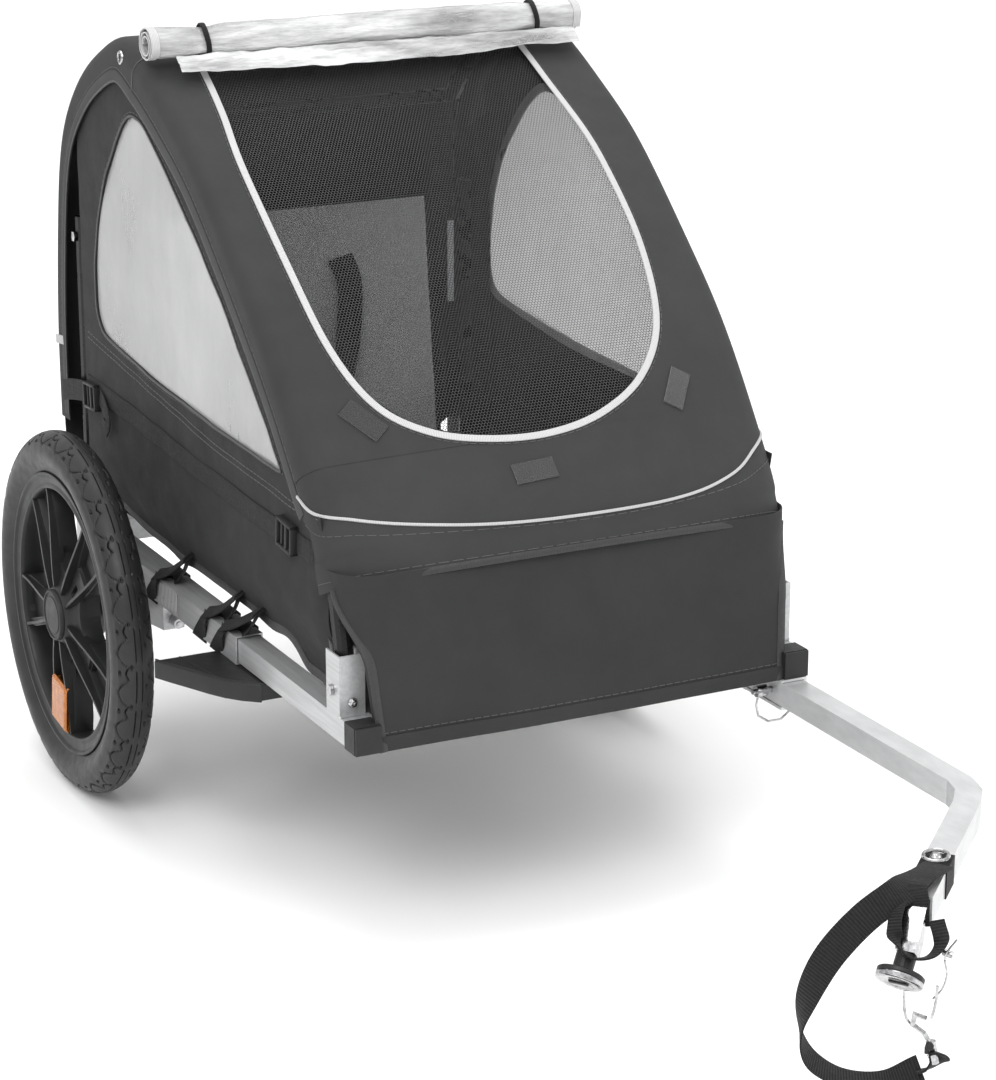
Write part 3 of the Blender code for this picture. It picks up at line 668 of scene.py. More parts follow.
def skirt_at(t):
    """How far down the side the canopy's edge reaches from its ridge."""
    if t < 4:
        return min(0.045, max(shoulder_at(t), (profile_at(t)[0].y - 0.424) / 0.634))
    return lerp(0.045, 0.04, ease((t - 10) / 3))


def edge_u(t):
    radius = shoulder_at(t)
    return CABIN_HALF - radius + radius * math.pi / 2 + skirt_at(t) - radius


def knot_at(x, s):
    """The knot where the cloth at x stands over height s of the window's plane."""
    low, high = 0.5, 8.0
    for _ in range(30):
        middle = (low + high) / 2
        if (canopy_point(middle, x) - WINDOW_BASE).dot(WINDOW_UP) < s:
            low = middle
        else:
            high = middle
    return (low + high) / 2


WINDOW = ((-0.186, 0.45), (-0.195, 0.36), (-0.2045, 0.2718), (-0.2, 0.1406), (-0.1911, 0.0418),
    (-0.1665, -0.0262), (-0.1219, -0.0643), (-0.064, -0.0815), (0.0, -0.0845), (0.0623, -0.07),
    (0.1212, -0.0336), (0.1641, 0.0292), (0.186, 0.1302), (0.1872, 0.2387), (0.1815, 0.3323), (0.179, 0.45))
WINDOW_STEPS = 9


def window_line():
    """The U of the front window on its plane, as (x, height) points, from the top left round."""
    return [Vector((p.x, p.y)) for p in smooth([(x, s, 0) for x, s in WINDOW], WINDOW_STEPS)]


def window_half(sign):
    """One side of the window, as (knot, distance from the middle), from the bottom up."""
    line = window_line()
    middle = WINDOW_STEPS * [x for x, s in WINDOW].index(0.0)
    half = line[middle:] if sign > 0 else line[middle::-1]
    return [(knot_at(p.x, p.y), abs(p.x)) for p in half]


def window_outline(grow=0.0):
    """The U moved outwards by the given amount."""
    points, moved = window_line(), []
    for i, point in enumerate(points):
        ahead = (points[min(i + 1, len(points) - 1)] - points[max(i - 1, 0)]).normalized()
        moved.append(tuple(point + Vector((ahead.y, -ahead.x)) * grow))
    return moved


def canopy_path(places, lift):
    """Points and outward directions on the canopy from (knot, distance across) pairs."""
    return [canopy_point(t, u, lift) for t, u in places], [canopy_normal(t, u) for t, u in places]


def surface_path(points, lift):
    """The same from (x, height) pairs on the window's plane."""
    return canopy_path([(knot_at(x, s), x) for x, s in points], lift)


def stitches(path, ups, radius=0.00045, dash=3, gap=1):
    """Short runs of thread along a path."""
    runs = []
    for i in range(0, len(path) - dash, dash + gap):
        runs.append(round_bar(path[i:i + dash + 1], radius, 5, ups[i]))
    return joined_mesh(*runs)


def refine(path, spacing):
    """The path as points that far apart."""
    lengths = [0.0]
    for a, b in zip(path, path[1:]):
        lengths.append(lengths[-1] + (Vector(b) - Vector(a)).length)
    count = max(2, int(lengths[-1] / spacing))
    spaced, k = [], 0
    for i in range(count + 1):
        want = lengths[-1] * i / count
        while k < len(path) - 2 and lengths[k + 1] < want:
            k += 1
        share = (want - lengths[k]) / max(lengths[k + 1] - lengths[k], 1e-9)
        spaced.append(Vector(path[k]).lerp(Vector(path[k + 1]), share))
    return spaced


def canopy_row(t, sign, inner):
    """One side of the cloth at knot t, from its edge in to the given distance from the middle."""
    edge, bend = edge_u(t), CABIN_HALF + shoulder_at(t) * (math.pi / 2 - 1)
    flat = CABIN_HALF - shoulder_at(t)
    across = spread(edge, bend, 6)[:-1] + spread(bend, flat, 8)[:-1] + spread(flat, inner, 18)
    return [canopy_point(t, sign * u) for u in across]


def build_canopy():
    halves = []
    for sign in (-1, 1):
        knots = window_half(sign)
        low, high = knots[0][0], knots[-1][0]
        rows = [(lerp(FLAP_END, low, i / 34), 0.0) for i in range(34)] + knots
        rows += [(lerp(high + 0.02, 15, i / 110), 0.0) for i in range(111)]
        halves.append(sheet_mesh([canopy_row(t, sign, inner) for t, inner in rows]))
    cloth = joined_mesh(*halves)
    bmesh.ops.remove_doubles(cloth, verts=cloth.verts, dist=0.00002)
    bmesh.ops.recalc_face_normals(cloth, faces=cloth.faces)
    cloth = thick(raw("canopy_cloth", cloth, "canopy"), CLOTH)
    settle(baked(cloth), "chassis", ["canopy"], folds=True)

    path, ups = surface_path(refine(window_outline(0.0008), 0.006), 0.0009)
    strip("window_binding", path, ups, (0.0072, 0.0014, 0.0004), "tape")
    path, ups = surface_path(refine(window_outline(0.0065), STITCH_STEP), 0.0008)
    on_cage("window_stitching", stitches(path, ups), "thread")

    # The net lies just inside the cloth and reaches past the window's edge.
    rows = [[canopy_point(t, u, -0.0035) for u in spread(-0.212, 0.212, 30)] for t in spread(1.75, 7.6, 48)]
    on_cage("window_net", sheet_mesh(rows), "netting", "mesh", ["window_screen"])


def build_trim():
    """Reflective piping over the front flap, the shoulder bands, the patches and the grommets."""
    line = smooth([(u, t, 0) for u, t in PIPING], 12)
    path, ups = canopy_path([(p.y, p.x) for p in line], 0.001)
    strip("reflective_piping", path, ups, (0.0030, 0.0016, 0.0006), "reflective")
    line = smooth([(u, t, 0) for u, t in PIPING], 32)
    for name, base, shift in (("upper", 1.0, -0.22), ("lower", 0.1, 0.06)):
        path, ups = canopy_path([(lerp(0.22, p.y, base) + shift, p.x) for p in line], 0.0006)
        on_cage("flap_seam_" + name, stitches(path, ups), "thread")
    path, ups = canopy_path([(FLAP_END + 0.1, u) for u in spread(-0.248, 0.248, 80)], 0.0008)
    strip("flap_hem", path, ups, (0.0070, 0.0012, 0.0004), "dark_tape")

    for side, sign in SIDES:
        for name, inset, width, look in (("band", 0.0065, 0.0110, "band"),
                ("bound_edge", 0.0005, 0.0026, "dark_tape")):
            path, ups = canopy_path([(t, sign * (edge_u(t) - inset)) for t in spread(2.25, 14.9, 140)],
                0.0009)
            on_cage(f"shoulder_{name}_{side}", bar(path, ups, flat_section(width, 0.0012, 0.0003)), look)
        path, ups = canopy_path([(t, sign * (edge_u(t) - 0.015)) for t in spread(2.3, 14.8, 760)], 0.0006)
        on_cage(f"shoulder_stitching_{side}", stitches(path, ups, 0.0004), "thread")
        eye = Vector((sign * (CABIN_HALF - 0.0002), 0.567, 0.8025))
        profile = [(0.0, 0.0038), (0.0016, 0.0042), (0.0022, 0.0056), (0.0016, 0.0072), (0.0, 0.0078)]
        on_cage(f"grommet_{side}", turned(profile, eye, (sign, 0, 0), 28), "steel", "steel")
        seam = [canopy_point(lerp(7.15, 7.05, k / 8), sign * lerp(FLAT, edge_u(7.1) - 0.012, k / 8), 0.0008)
            for k in range(9)]
        strip(f"roof_seam_{side}", seam, [canopy_normal(7.1, sign * 0.25)] * 9, (0.003, 0.001), "dark_tape")

    for name, x, s, turn in (("patch_middle", -0.030, -0.1225, 3), ("patch_left", -0.183, -0.040, -52),
            ("patch_right", 0.157, -0.052, 58)):
        spin = math.radians(turn)
        rows = []
        for i in range(7):
            row = []
            for k in range(13):
                a, b = lerp(-0.0225, 0.0225, k / 12), lerp(-0.0105, 0.0105, i / 6)
                px = x + a * math.cos(spin) - b * math.sin(spin)
                ps = s + a * math.sin(spin) + b * math.cos(spin)
                row.append(canopy_point(knot_at(px, ps), px, 0.0016))
            rows.append(row)
        fabric(name, rows, "hook", 0.0016, folds=True)


# ---------------------------------------------------------------- side panels
SEAM = ((0.04, 0.428), (0.086, 0.4285), (0.121, 0.434), (0.168, 0.475), (0.215, 0.524), (0.285, 0.6),
    (0.361, 0.672), (0.493, 0.751), (0.559, 0.777), (0.588, 0.781), (0.613, 0.776), (0.668, 0.752),
    (0.715, 0.716), (0.722, 0.706))


def seam_height(y):
    for (a, low), (b, high) in zip(SEAM, SEAM[1:]):
        if y <= b:
            return lerp(low, high, ease((y - a) / (b - a)) * 0.35 + 0.65 * (y - a) / (b - a))
    return SEAM[-1][1]


def hem_height(y):
    """The tub's lower edge, clear of the front post and of the upright's foot."""
    front = lerp(0.318, 0.25, ease((y - 0.066) / 0.045))
    dips = math.exp(-((y - 0.255) / 0.03) ** 2) + math.exp(-((y - 0.5) / 0.03) ** 2)
    lift = 0.024 * ease((y - 0.155) / 0.06) - 0.007 * dips
    return front + lift + 0.03 * ease((y - 0.58) / 0.14)


def side_x(y, z):
    """The side's distance out: flat above, tucked under at the tub's edge, with slack folds."""
    tuck = 0.0235 * ease((0.338 - z) / 0.075) ** 1.3
    front = 0.0125 * ease((0.1 - y) / 0.06) * ease((0.44 - z) / 0.04)
    low = ease((0.455 - z) / 0.1)
    folds = 0.003 * low * noise.noise(Vector((y * 9 + z * 6, z * 13, 1.7)))
    folds += 0.0013 * noise.noise(Vector((y * 22, z * 26, 8.2)))
    return 0.2492 - tuck - front - low * 0.0012 + max(min(folds, 0.0008), -0.0022)


def side_window(grow=0.0, sign=-1):
    corners = ((0.17, 0.462), (0.2, 0.494), (0.241, 0.532), (0.3, 0.585), (0.365, 0.6375), (0.43, 0.684),
        (0.497, 0.727), (0.53, 0.741), (0.562, 0.737), (0.606, 0.697), (0.65, 0.6365), (0.672, 0.575),
        (0.676, 0.521), (0.664, 0.494), (0.636, 0.484), (0.56, 0.4765), (0.491, 0.47), (0.4, 0.465),
        (0.324, 0.461), (0.245, 0.459), (0.195, 0.458), (0.175, 0.4575))
    if sign > 0:
        corners = [(y + 0.034 * ease((y - 0.4) / 0.25), z - 0.008 - 0.006 * ease((y - 0.3) / 0.3))
            for y, z in corners]
    loop = [Vector(p) for p in corners]
    points = []
    for i in range(len(loop)):
        four = [loop[(i + k) % len(loop)] for k in (-1, 0, 1, 2)]
        points += [spline(*four, s) for s in (0, 0.25, 0.5, 0.75)]
    centre = Vector((0.5, 0.57))
    return [(p + (p - centre).normalized() * grow)[:] for p in points]


def side_path(points, sign, lift):
    path = [Vector((sign * (side_x(y, z) + lift), y, z)) for y, z in points]
    return path, [Vector((sign, 0, 0))] * len(path)


def build_side(side, sign):
    rows = [[(y, lerp(hem_height(y), seam_height(y) + 0.007, i / 60)) for y in spread(0.074, 0.722, 90)]
        for i in range(61)]
    rows = [[Vector((sign * side_x(y, z), y, z)) for y, z in row] for row in rows]
    # The side cloth's darker weave is painted shade on the panel.
    panel = raw("side_cloth_" + side, sheet_mesh(rows), "side")
    thick(panel, CLOTH)
    baked(panel)

    def through(a, b, depth):
        return Vector((sign * (0.2 + depth), a, b))

    cut(panel, prism(side_window(0, sign), through, 0.08))
    settle(panel, "chassis", ["side_panel_" + side], folds=True)

    rows = [[Vector((sign * (0.2478 - 0.0015 * noise.noise(Vector((y * 9, z * 9, 0.4)))), y, z))
        for y in spread(0.15, 0.722, 64)] for z in spread(0.436, 0.758, 36)]
    film = raw("side_film_" + side, sheet_mesh(rows), "film")

    thick(film, 0.0006)
    cut(film, prism(side_window(0.01, sign), through, 0.08), "INTERSECT")
    settle(film, "chassis", folds=True)

    edge = side_window(0.002, sign)
    path, ups = side_path(edge, sign, 0.001)
    strip("side_window_edge_" + side, path, ups, (0.0030, 0.0012, 0.0004), "dark_tape", closed=True)
    fine = refine([Vector((y, z, 0)) for y, z in side_window(0.0062, sign)], STITCH_STEP)
    path, ups = side_path([(p.x, p.y) for p in fine], sign, 0.0006)
    on_cage("side_window_stitching_" + side, stitches(path, ups, 0.0004), "thread")

    # Sewn webbing bands under the window, from the ladder-lock buckle to the front buckle
    band = smooth([(0.716, 0.417, 0), (0.63, 0.416, 0), (0.51, 0.41, 0), (0.381, 0.403, 0), (0.24, 0.398, 0),
        (0.122, 0.396, 0), (0.082, 0.396, 0)], 12)
    path, ups = side_path([(p.x, p.y) for p in band], sign, 0.0014)
    strip("sewn_band_" + side, path, ups, (0.022, 0.0016, 0.0004), "black", "webbing")
    for name, height in (("upper", 0.436), ("lower", 0.4425)):
        line = refine([Vector((0.08, height - 0.01, 0)), Vector((0.35, height, 0)),
            Vector((0.718, height + 0.036, 0))], STITCH_STEP)
        path, ups = side_path([(p.x, p.y) for p in line], sign, 0.0006)
        on_cage(f"side_seam_{name}_{side}", stitches(path, ups, 0.0005), "thread")
    hem = [(y, hem_height(y) + 0.004) for y in spread(0.077, 0.72, 80)]
    path, ups = side_path(hem, sign, 0.001)
    strip("tub_hem_" + side, path, ups, (0.011, 0.0016, 0.0004), "dark_tape")

    build_buckle("rear_buckle_" + side, sign, 0.694, 0.408, -4)
    build_buckle("front_buckle_" + side, sign, 0.147, 0.399, 5)
    tail = smooth([(0.672, 0.412, 0.0035), (0.65, 0.404, 0.006), (0.64, 0.392, 0.0075), (0.652, 0.38, 0.007)],
        6)
    path = [Vector((sign * (side_x(p.x, p.y) + p.z), p.x, p.y)) for p in tail]
    strip("strap_tail_" + side, path, [Vector((sign, 0, 0))] * len(path), (0.02, 0.0016), "black", "webbing")
    tab = [(sign * 0.2535, y, z) for y, z in ((0.7, 0.41), (0.73, 0.406), (0.762, 0.4), (0.79, 0.393))]
    on_cage("rear_tab_" + side, bar(smooth(tab, 5), (sign, 0, 0), flat_section(0.024, 0.0020, 0.0004)),
        "black", "webbing")
    low = [(sign * (CABIN_HALF + 0.0012), 0.783, 0.452), (sign * (CABIN_HALF + 0.0012), 0.808, 0.449)]
    strip("reflective_tab_" + side, low, (sign, 0, 0), (0.0100, 0.0016), "reflective")


def build_buckle(name, sign, y, z, tilt):
    """A ladder lock: a moulded frame with two bars that the webbing threads."""
    base = Vector((sign * (side_x(y, z) + 0.005), y, z))
    spin = Matrix.Rotation(math.radians(tilt * -sign), 3, "X")
    bars = [((-0.0045, -0.019, -0.015), (0.0045, -0.015, 0.015)),
        ((-0.0045, 0.015, -0.015), (0.0045, 0.019, 0.015)), ((-0.0045, -0.019, 0.0115),
        (0.0045, 0.019, 0.015)), ((-0.0045, -0.019, -0.015), (0.0045, 0.019, -0.0115)),
        ((-0.0038, -0.006, -0.014), (0.005, -0.001, 0.014)), ((-0.003, 0.006, -0.014),
        (0.0036, 0.0095, 0.014))]
    mesh = joined_mesh(*[block(low, high, 0.0012, 2) for low, high in bars])
    bmesh.ops.rotate(mesh, verts=mesh.verts, cent=(0, 0, 0), matrix=spin)
    bmesh.ops.translate(mesh, verts=mesh.verts, vec=base)
    on_cage(name, mesh, "plastic", "plastic")


# ---------------------------------------------------------------- front panel
def front_panel_point(u, v, lift=0.0):
    """The apron under the flap: u from -1 to 1 across, v from the hem to the top."""
    y = lerp(0.001, 0.024, v) - 0.01 * (1 - u * u) * math.sin(math.pi * min(v + 0.15, 1)) * 0.6
    half = lerp(0.2205, 0.233, v) + 0.015 * ease((v - 0.45) / 0.45)
    wrap = 0.036 * ease((v - 0.48) / 0.4)
    turn = max(abs(u) - 0.84, 0.0) / 0.16 * math.pi / 2
    x = half * (0.84 + 0.16 * math.sin(turn)) if turn else half * abs(u)
    soft = 0.0016 * noise.noise(Vector((u * 2.2, v * 2.0, 5.0)))
    return Vector((math.copysign(x, u), y - soft - lift + wrap * (1 - math.cos(turn)), lerp(0.22, 0.388, v)))


def build_front():
    rows = []
    for v in spread(0, 1, 40):
        row = [front_panel_point(u, v) for u in spread(-1, 1, 70)]
        left, right = ([corner + Vector((sign * out, back, 0))
            for out, back in ((0.0012, 0.004), (0.001, 0.012))]
            for corner, sign in ((row[0], -1), (row[-1], 1)))
        rows.append(left[::-1] + row + right)
    fabric("apron_cloth", rows, "panel", CLOTH, replaces=["front_panel"])
    for side, sign in SIDES:
        path = [front_panel_point(sign * 0.985, v / 30, 0.0012) for v in range(28)]
        strip("apron_binding_" + side, path, (0, -1, 0), (0.0085, 0.0014, 0.0005), "dark_tape", "canvas",
            body="chassis", folds=False)
    path = [front_panel_point(u, 0.045, 0.001) for u in spread(-0.99, 0.99, 60)]
    strip("apron_hem", path, (0, -1, 0), (0.0150, 0.0014, 0.0004), "panel", "canvas", body="chassis",
        folds=False)
    path = refine([front_panel_point(u, 0.105, 0.0006) for u in spread(-0.97, 0.97, 60)], STITCH_STEP)
    made("apron_stitching", stitches(path, [Vector((0, -1, 0))] * len(path)), "thread", "chassis", "canvas")


# ---------------------------------------------------------------- tub floor, back and seat
def build_interior():
    rows = []
    for i in range(31):
        y = lerp(0.016, 0.728, i / 30)
        rise = 0.02 * ease((y - 0.14) / 0.06)
        rows.append([Vector((lerp(-0.2225, 0.2225, k / 20), y,
            0.252 + rise * abs(k / 10 - 1) ** 6 + 0.0016 * noise.noise(Vector((k * 0.5, y * 9, 0)))))
            for k in range(21)])
    fabric("tub_floor", rows, "inner", 0.0016, replaces=["floor_panel"])

    back = smooth([(0.8135, 0.366, 0), (0.81, 0.33, 0), (0.798, 0.296, 0), (0.775, 0.268, 0),
        (0.735, 0.2535, 0)], 5)
    rows = [[Vector((lerp(-1, 1, k / 16) * lerp(0.217, 0.246, ease((p.y - 0.285) / 0.02)), p.x, p.y))
        for k in range(17)] for p in back]
    fabric("storage_back", rows, "side", CLOTH, folds=True)

    # Sling seat: crowned pad on the base, and a reclined back with a shiny grey middle
    pad = []
    for i in range(25):
        v = i / 24
        y = lerp(0.448, 0.66, v)
        row = []
        for k in range(37):
            u = lerp(-1, 1, k / 36)
            edge = (1 - u ** 6) * (1 - (2 * v - 1) ** 6)
            channel = 0.003 * max(0.0, 1 - abs((u * 3) % 2 - 1) * 8)
            row.append(Vector((0.163 * u, y, 0.3215 + 0.02 * edge ** 0.5 - channel * edge)))
        pad.append(row)
    seat = fabric("seat_pad", pad, "inner", 0.006, replaces=["seat_base"], offset=-1)

    def back_point(x, v, lift):
        y, z = lerp(0.672, 0.702, v), lerp(0.322, 0.596, v)
        sag = 0.01 * (1 - (x / 0.165) ** 2) * math.sin(math.pi * v)
        return Vector((x, y + sag - lift, z))

    rows = [[back_point(lerp(-0.165, 0.165, k / 30), i / 24, 0.0) for k in range(31)] for i in range(25)]
    fabric("seat_rest", rows, "inner", 0.005, replaces=["seat_back"], folds=True)
    rows = [[back_point(x, i / 24, 0.0045 + 0.0015 * noise.noise(Vector((k * 0.35, i * 0.3, 2))))
        for k, x in enumerate(spread(-0.158, 0.158, 20))] for i in range(25)]
    fabric("seat_rest_panel", rows, "lining", 0.0012, folds=True)

    for side, sign in SIDES:
        inset = 0.196 if sign < 0 else 0.239
        rows = [[Vector((sign * (inset + 0.002 * noise.noise(Vector((k * 0.6, i * 0.5, 4)))),
            lerp(0.69, 0.806, k / 8), lerp(0.258, 0.69 - 0.06 * k / 8, i / 20))) for k in range(9)]
            for i in range(21)]
        fabric("rear_gusset_" + side, rows, "inner", 0.001, folds=True)

    # Five-point harness
    for side, sign in SIDES:
        shoulder = [back_point(sign * 0.05, 0.78, 0.008), back_point(sign * 0.056, 0.66, 0.018),
            back_point(sign * 0.046, 0.42, 0.026), (sign * 0.012, 0.61, 0.405)]
        strip(f"shoulder_strap_{side}", smooth(shoulder, 8), (0, -1, 0.1), (0.03, 0.004, 0.001), "black",
            "webbing")
        lap = [(sign * 0.1, 0.64, 0.345), (sign * 0.06, 0.612, 0.372), (sign * 0.014, 0.605, 0.398)]
        strip(f"lap_strap_{side}", smooth(lap, 8), (0, -0.7, 0.7), (0.022, 0.0020), "black", "webbing")
    crotch = [(0.0, 0.52, 0.343), (0.0, 0.565, 0.362), (0.0, 0.602, 0.392)]
    strip("crotch_strap", smooth(crotch, 8), (0, -0.7, 0.7), (0.036, 0.0040, 0.001), "black", "webbing")
    on_cage("harness_buckle", block((-0.018, 0.594, 0.384), (0.018, 0.612, 0.420), 0.006), "plastic",
        "plastic")
    hanging = [(0.188, 0.712, z) for z in (0.7, 0.64, 0.56, 0.47)]
    strip("hanging_strap", smooth(hanging, 6), (0, -1, 0), (0.030, 0.0020), "black", "webbing")
    light = [(0.196, 0.706, z) for z in (0.562, 0.53, 0.5, 0.466)]
    strip("harness_strip", light, (0, -1, 0), (0.0080, 0.0016), "lining", "lining")


# ---------------------------------------------------------------- rolled rain cover
def roll_point(x, turn, extra=0.0):
    """A point of the wound film: turn counts from the core to the free edge."""
    centre = Vector((0, ROLL_Y, 0.8235))
    share = turn / (ROLL_TURNS * math.tau)
    crease = noise.noise(Vector((x * 16, math.cos(turn) * 2.2, math.sin(turn) * 2.2 + share * 3)))
    fine = noise.noise(Vector((x * 45, math.cos(turn) * 5, math.sin(turn) * 5)))
    radius = lerp(0.0075, 0.0195, share) + 0.002 * crease * share + 0.0007 * fine + extra
    pinch = 1 - 0.16 * math.exp(-((x + 0.185) / 0.02) ** 2) - 0.16 * math.exp(-((x - 0.195) / 0.02) ** 2)
    return centre + Vector((x, math.cos(turn) * radius * pinch, math.sin(turn) * radius * pinch * 0.96))


def build_roll():
    turns = [ROLL_TURNS * math.tau * k / 120 for k in range(121)]
    rows = [[roll_point(x, turn) for turn in turns] for x in spread(-0.246, 0.246, 150)]
    fabric("rolled_film", rows, "roll", 0.0005, "cage", ["rolled_cover"], angle=75)
    rows = []
    for i in range(13):
        row = []
        for k in range(141):
            x = lerp(-0.222, 0.238, k / 140)
            drop = i / 12 * (0.55 + 0.1 * noise.noise(Vector((x * 9, 0, 6))) + 0.1 * math.cos(x * 9))
            crease = 0.0022 * noise.noise(Vector((x * 26, i * 0.35, 2)))
            crease += 0.0012 * noise.noise(Vector((x * 70, i * 0.8, 5)))
            y, z = lerp(0.4885, 0.456, drop), lerp(0.812, 0.785, drop)
            row.append(Vector((x, y - 0.002 - crease * 0.5, z + 0.001 + crease)))
        rows.append(row)
    fabric("rolled_film_edge", rows, "roll", 0.0005, "cage", angle=75)
    for side, sign in SIDES:
        rows = [[roll_point(sign * lerp(0.239, 0.2478, i / 3), turn, 0.0005) for turn in turns]
            for i in range(4)]
        fabric("roll_binding_" + side, rows, "tape", 0.0012, "cage")
    for name, x in (("left", -0.185), ("right", 0.195)):
        loop = []
        for k in range(40):
            a = math.tau * k / 40
            loop.append(Vector((x + 0.0015 * math.sin(a * 2), ROLL_Y + 0.0182 * math.cos(a),
                0.823 + 0.018 * math.sin(a))))
        ups = [(p - Vector((x, ROLL_Y, 0.823))).normalized() for p in loop]
        mesh = bar(loop, ups, flat_section(0.0055, 0.002, 0.0004), closed=True)
        made("roll_elastic_" + name, mesh, "elastic", "cage", "webbing")


# ---------------------------------------------------------------- wheels
def wheel_place(sign, along, radius, degrees):
    """A point of the wheel: outwards along the axle, radius and angle from forwards towards up."""
    angle = math.radians(degrees)
    return Vector((sign * (WHEEL_X + along), AXLE_Y - radius * math.cos(angle),
        AXLE_Z + radius * math.sin(angle)))


def tread_depth(angle, around):
    """How deep the rubber is cut at a section angle from the crown, in degrees, and turns of the pattern."""
    depth = 0.0
    phase = around % 1.0
    side = 1 if angle >= 0 else -1
    if phase < 0.68:
        scallop = 27 + 30 * math.sin(math.pi * phase / 0.68) ** 0.75
    else:
        scallop = 27 + 9 * math.sin(math.pi * (phase - 0.68) / 0.32)
    if abs(abs(angle) - scallop) < 2.6:
        depth = 0.0022 * (1 - (abs(abs(angle) - scallop) / 2.6) ** 2)
    if 48 < abs(angle) < 58 and abs(phase - 0.84) < 0.045:
        depth = max(depth, 0.002)
    if abs(abs(angle) - 8) < 1.4 and abs(phase - 0.5) < 0.42:
        depth = max(depth, 0.0016)
    half = (around + (0.5 if side > 0 else 0.0)) % 1.0
    if ((abs(angle) - 20) / 3.2) ** 2 + ((half - 0.5) / 0.07) ** 2 < 1:
        depth = max(depth, 0.0018)
    if abs(angle) > 58:
        depth = max(depth, 0.0007 * ease((abs(angle) - 58) / 5))
    return depth


def build_tyre(side, sign):
    steps = TREAD_REPEATS * 26
    crown = WHEEL_RADIUS - TYRE_HALF
    angles = [-124, -112, -100, -90, -80, -70, -62] + [-58 + 2 * k
        for k in range(59)] + [62, 70, 80, 90, 100, 112, 124]
    rows = []
    for i in range(steps):
        degrees = 360 * i / steps
        row = []
        for angle in angles:
            radial = math.radians(angle)
            half = TYRE_HALF - tread_depth(angle, degrees / 360 * TREAD_REPEATS)
            if abs(abs(angle) - 90) < 1:
                half += 0.0003
            row.append(wheel_place(sign, half * math.sin(radial), crown + half * math.cos(radial), degrees))
        row = [wheel_place(sign, -0.015, BEAD_RADIUS + 0.0002, degrees)] + row
        row += [wheel_place(sign, 0.015, BEAD_RADIUS + 0.0002, degrees)]
        rows.append(row)
    mesh = sheet_mesh(rows, wrap=True, joined=True)
    bmesh.ops.recalc_face_normals(mesh, faces=mesh.faces)
    crown_ring = Vector((sign * WHEEL_X, AXLE_Y, AXLE_Z))
    # Faces cut into the tread take the darker rubber: painted shade in the grooves.
    for face in mesh.faces:
        spot = face.calc_center_median() - crown_ring
        level = math.hypot(math.hypot(spot.y, spot.z) - crown, spot.x)
        face.material_index = 1 if math.hypot(spot.y,
            spot.z) > crown + 0.011 and level < TYRE_HALF - 0.0009 else 0
    tyre = raw("tyre_tread_" + side, mesh, "tyre")
    tyre.data.materials.append(LOOKS["groove_shade"])
    settle(tyre, "wheel_" + side, ["tyre_" + side], angle=60)


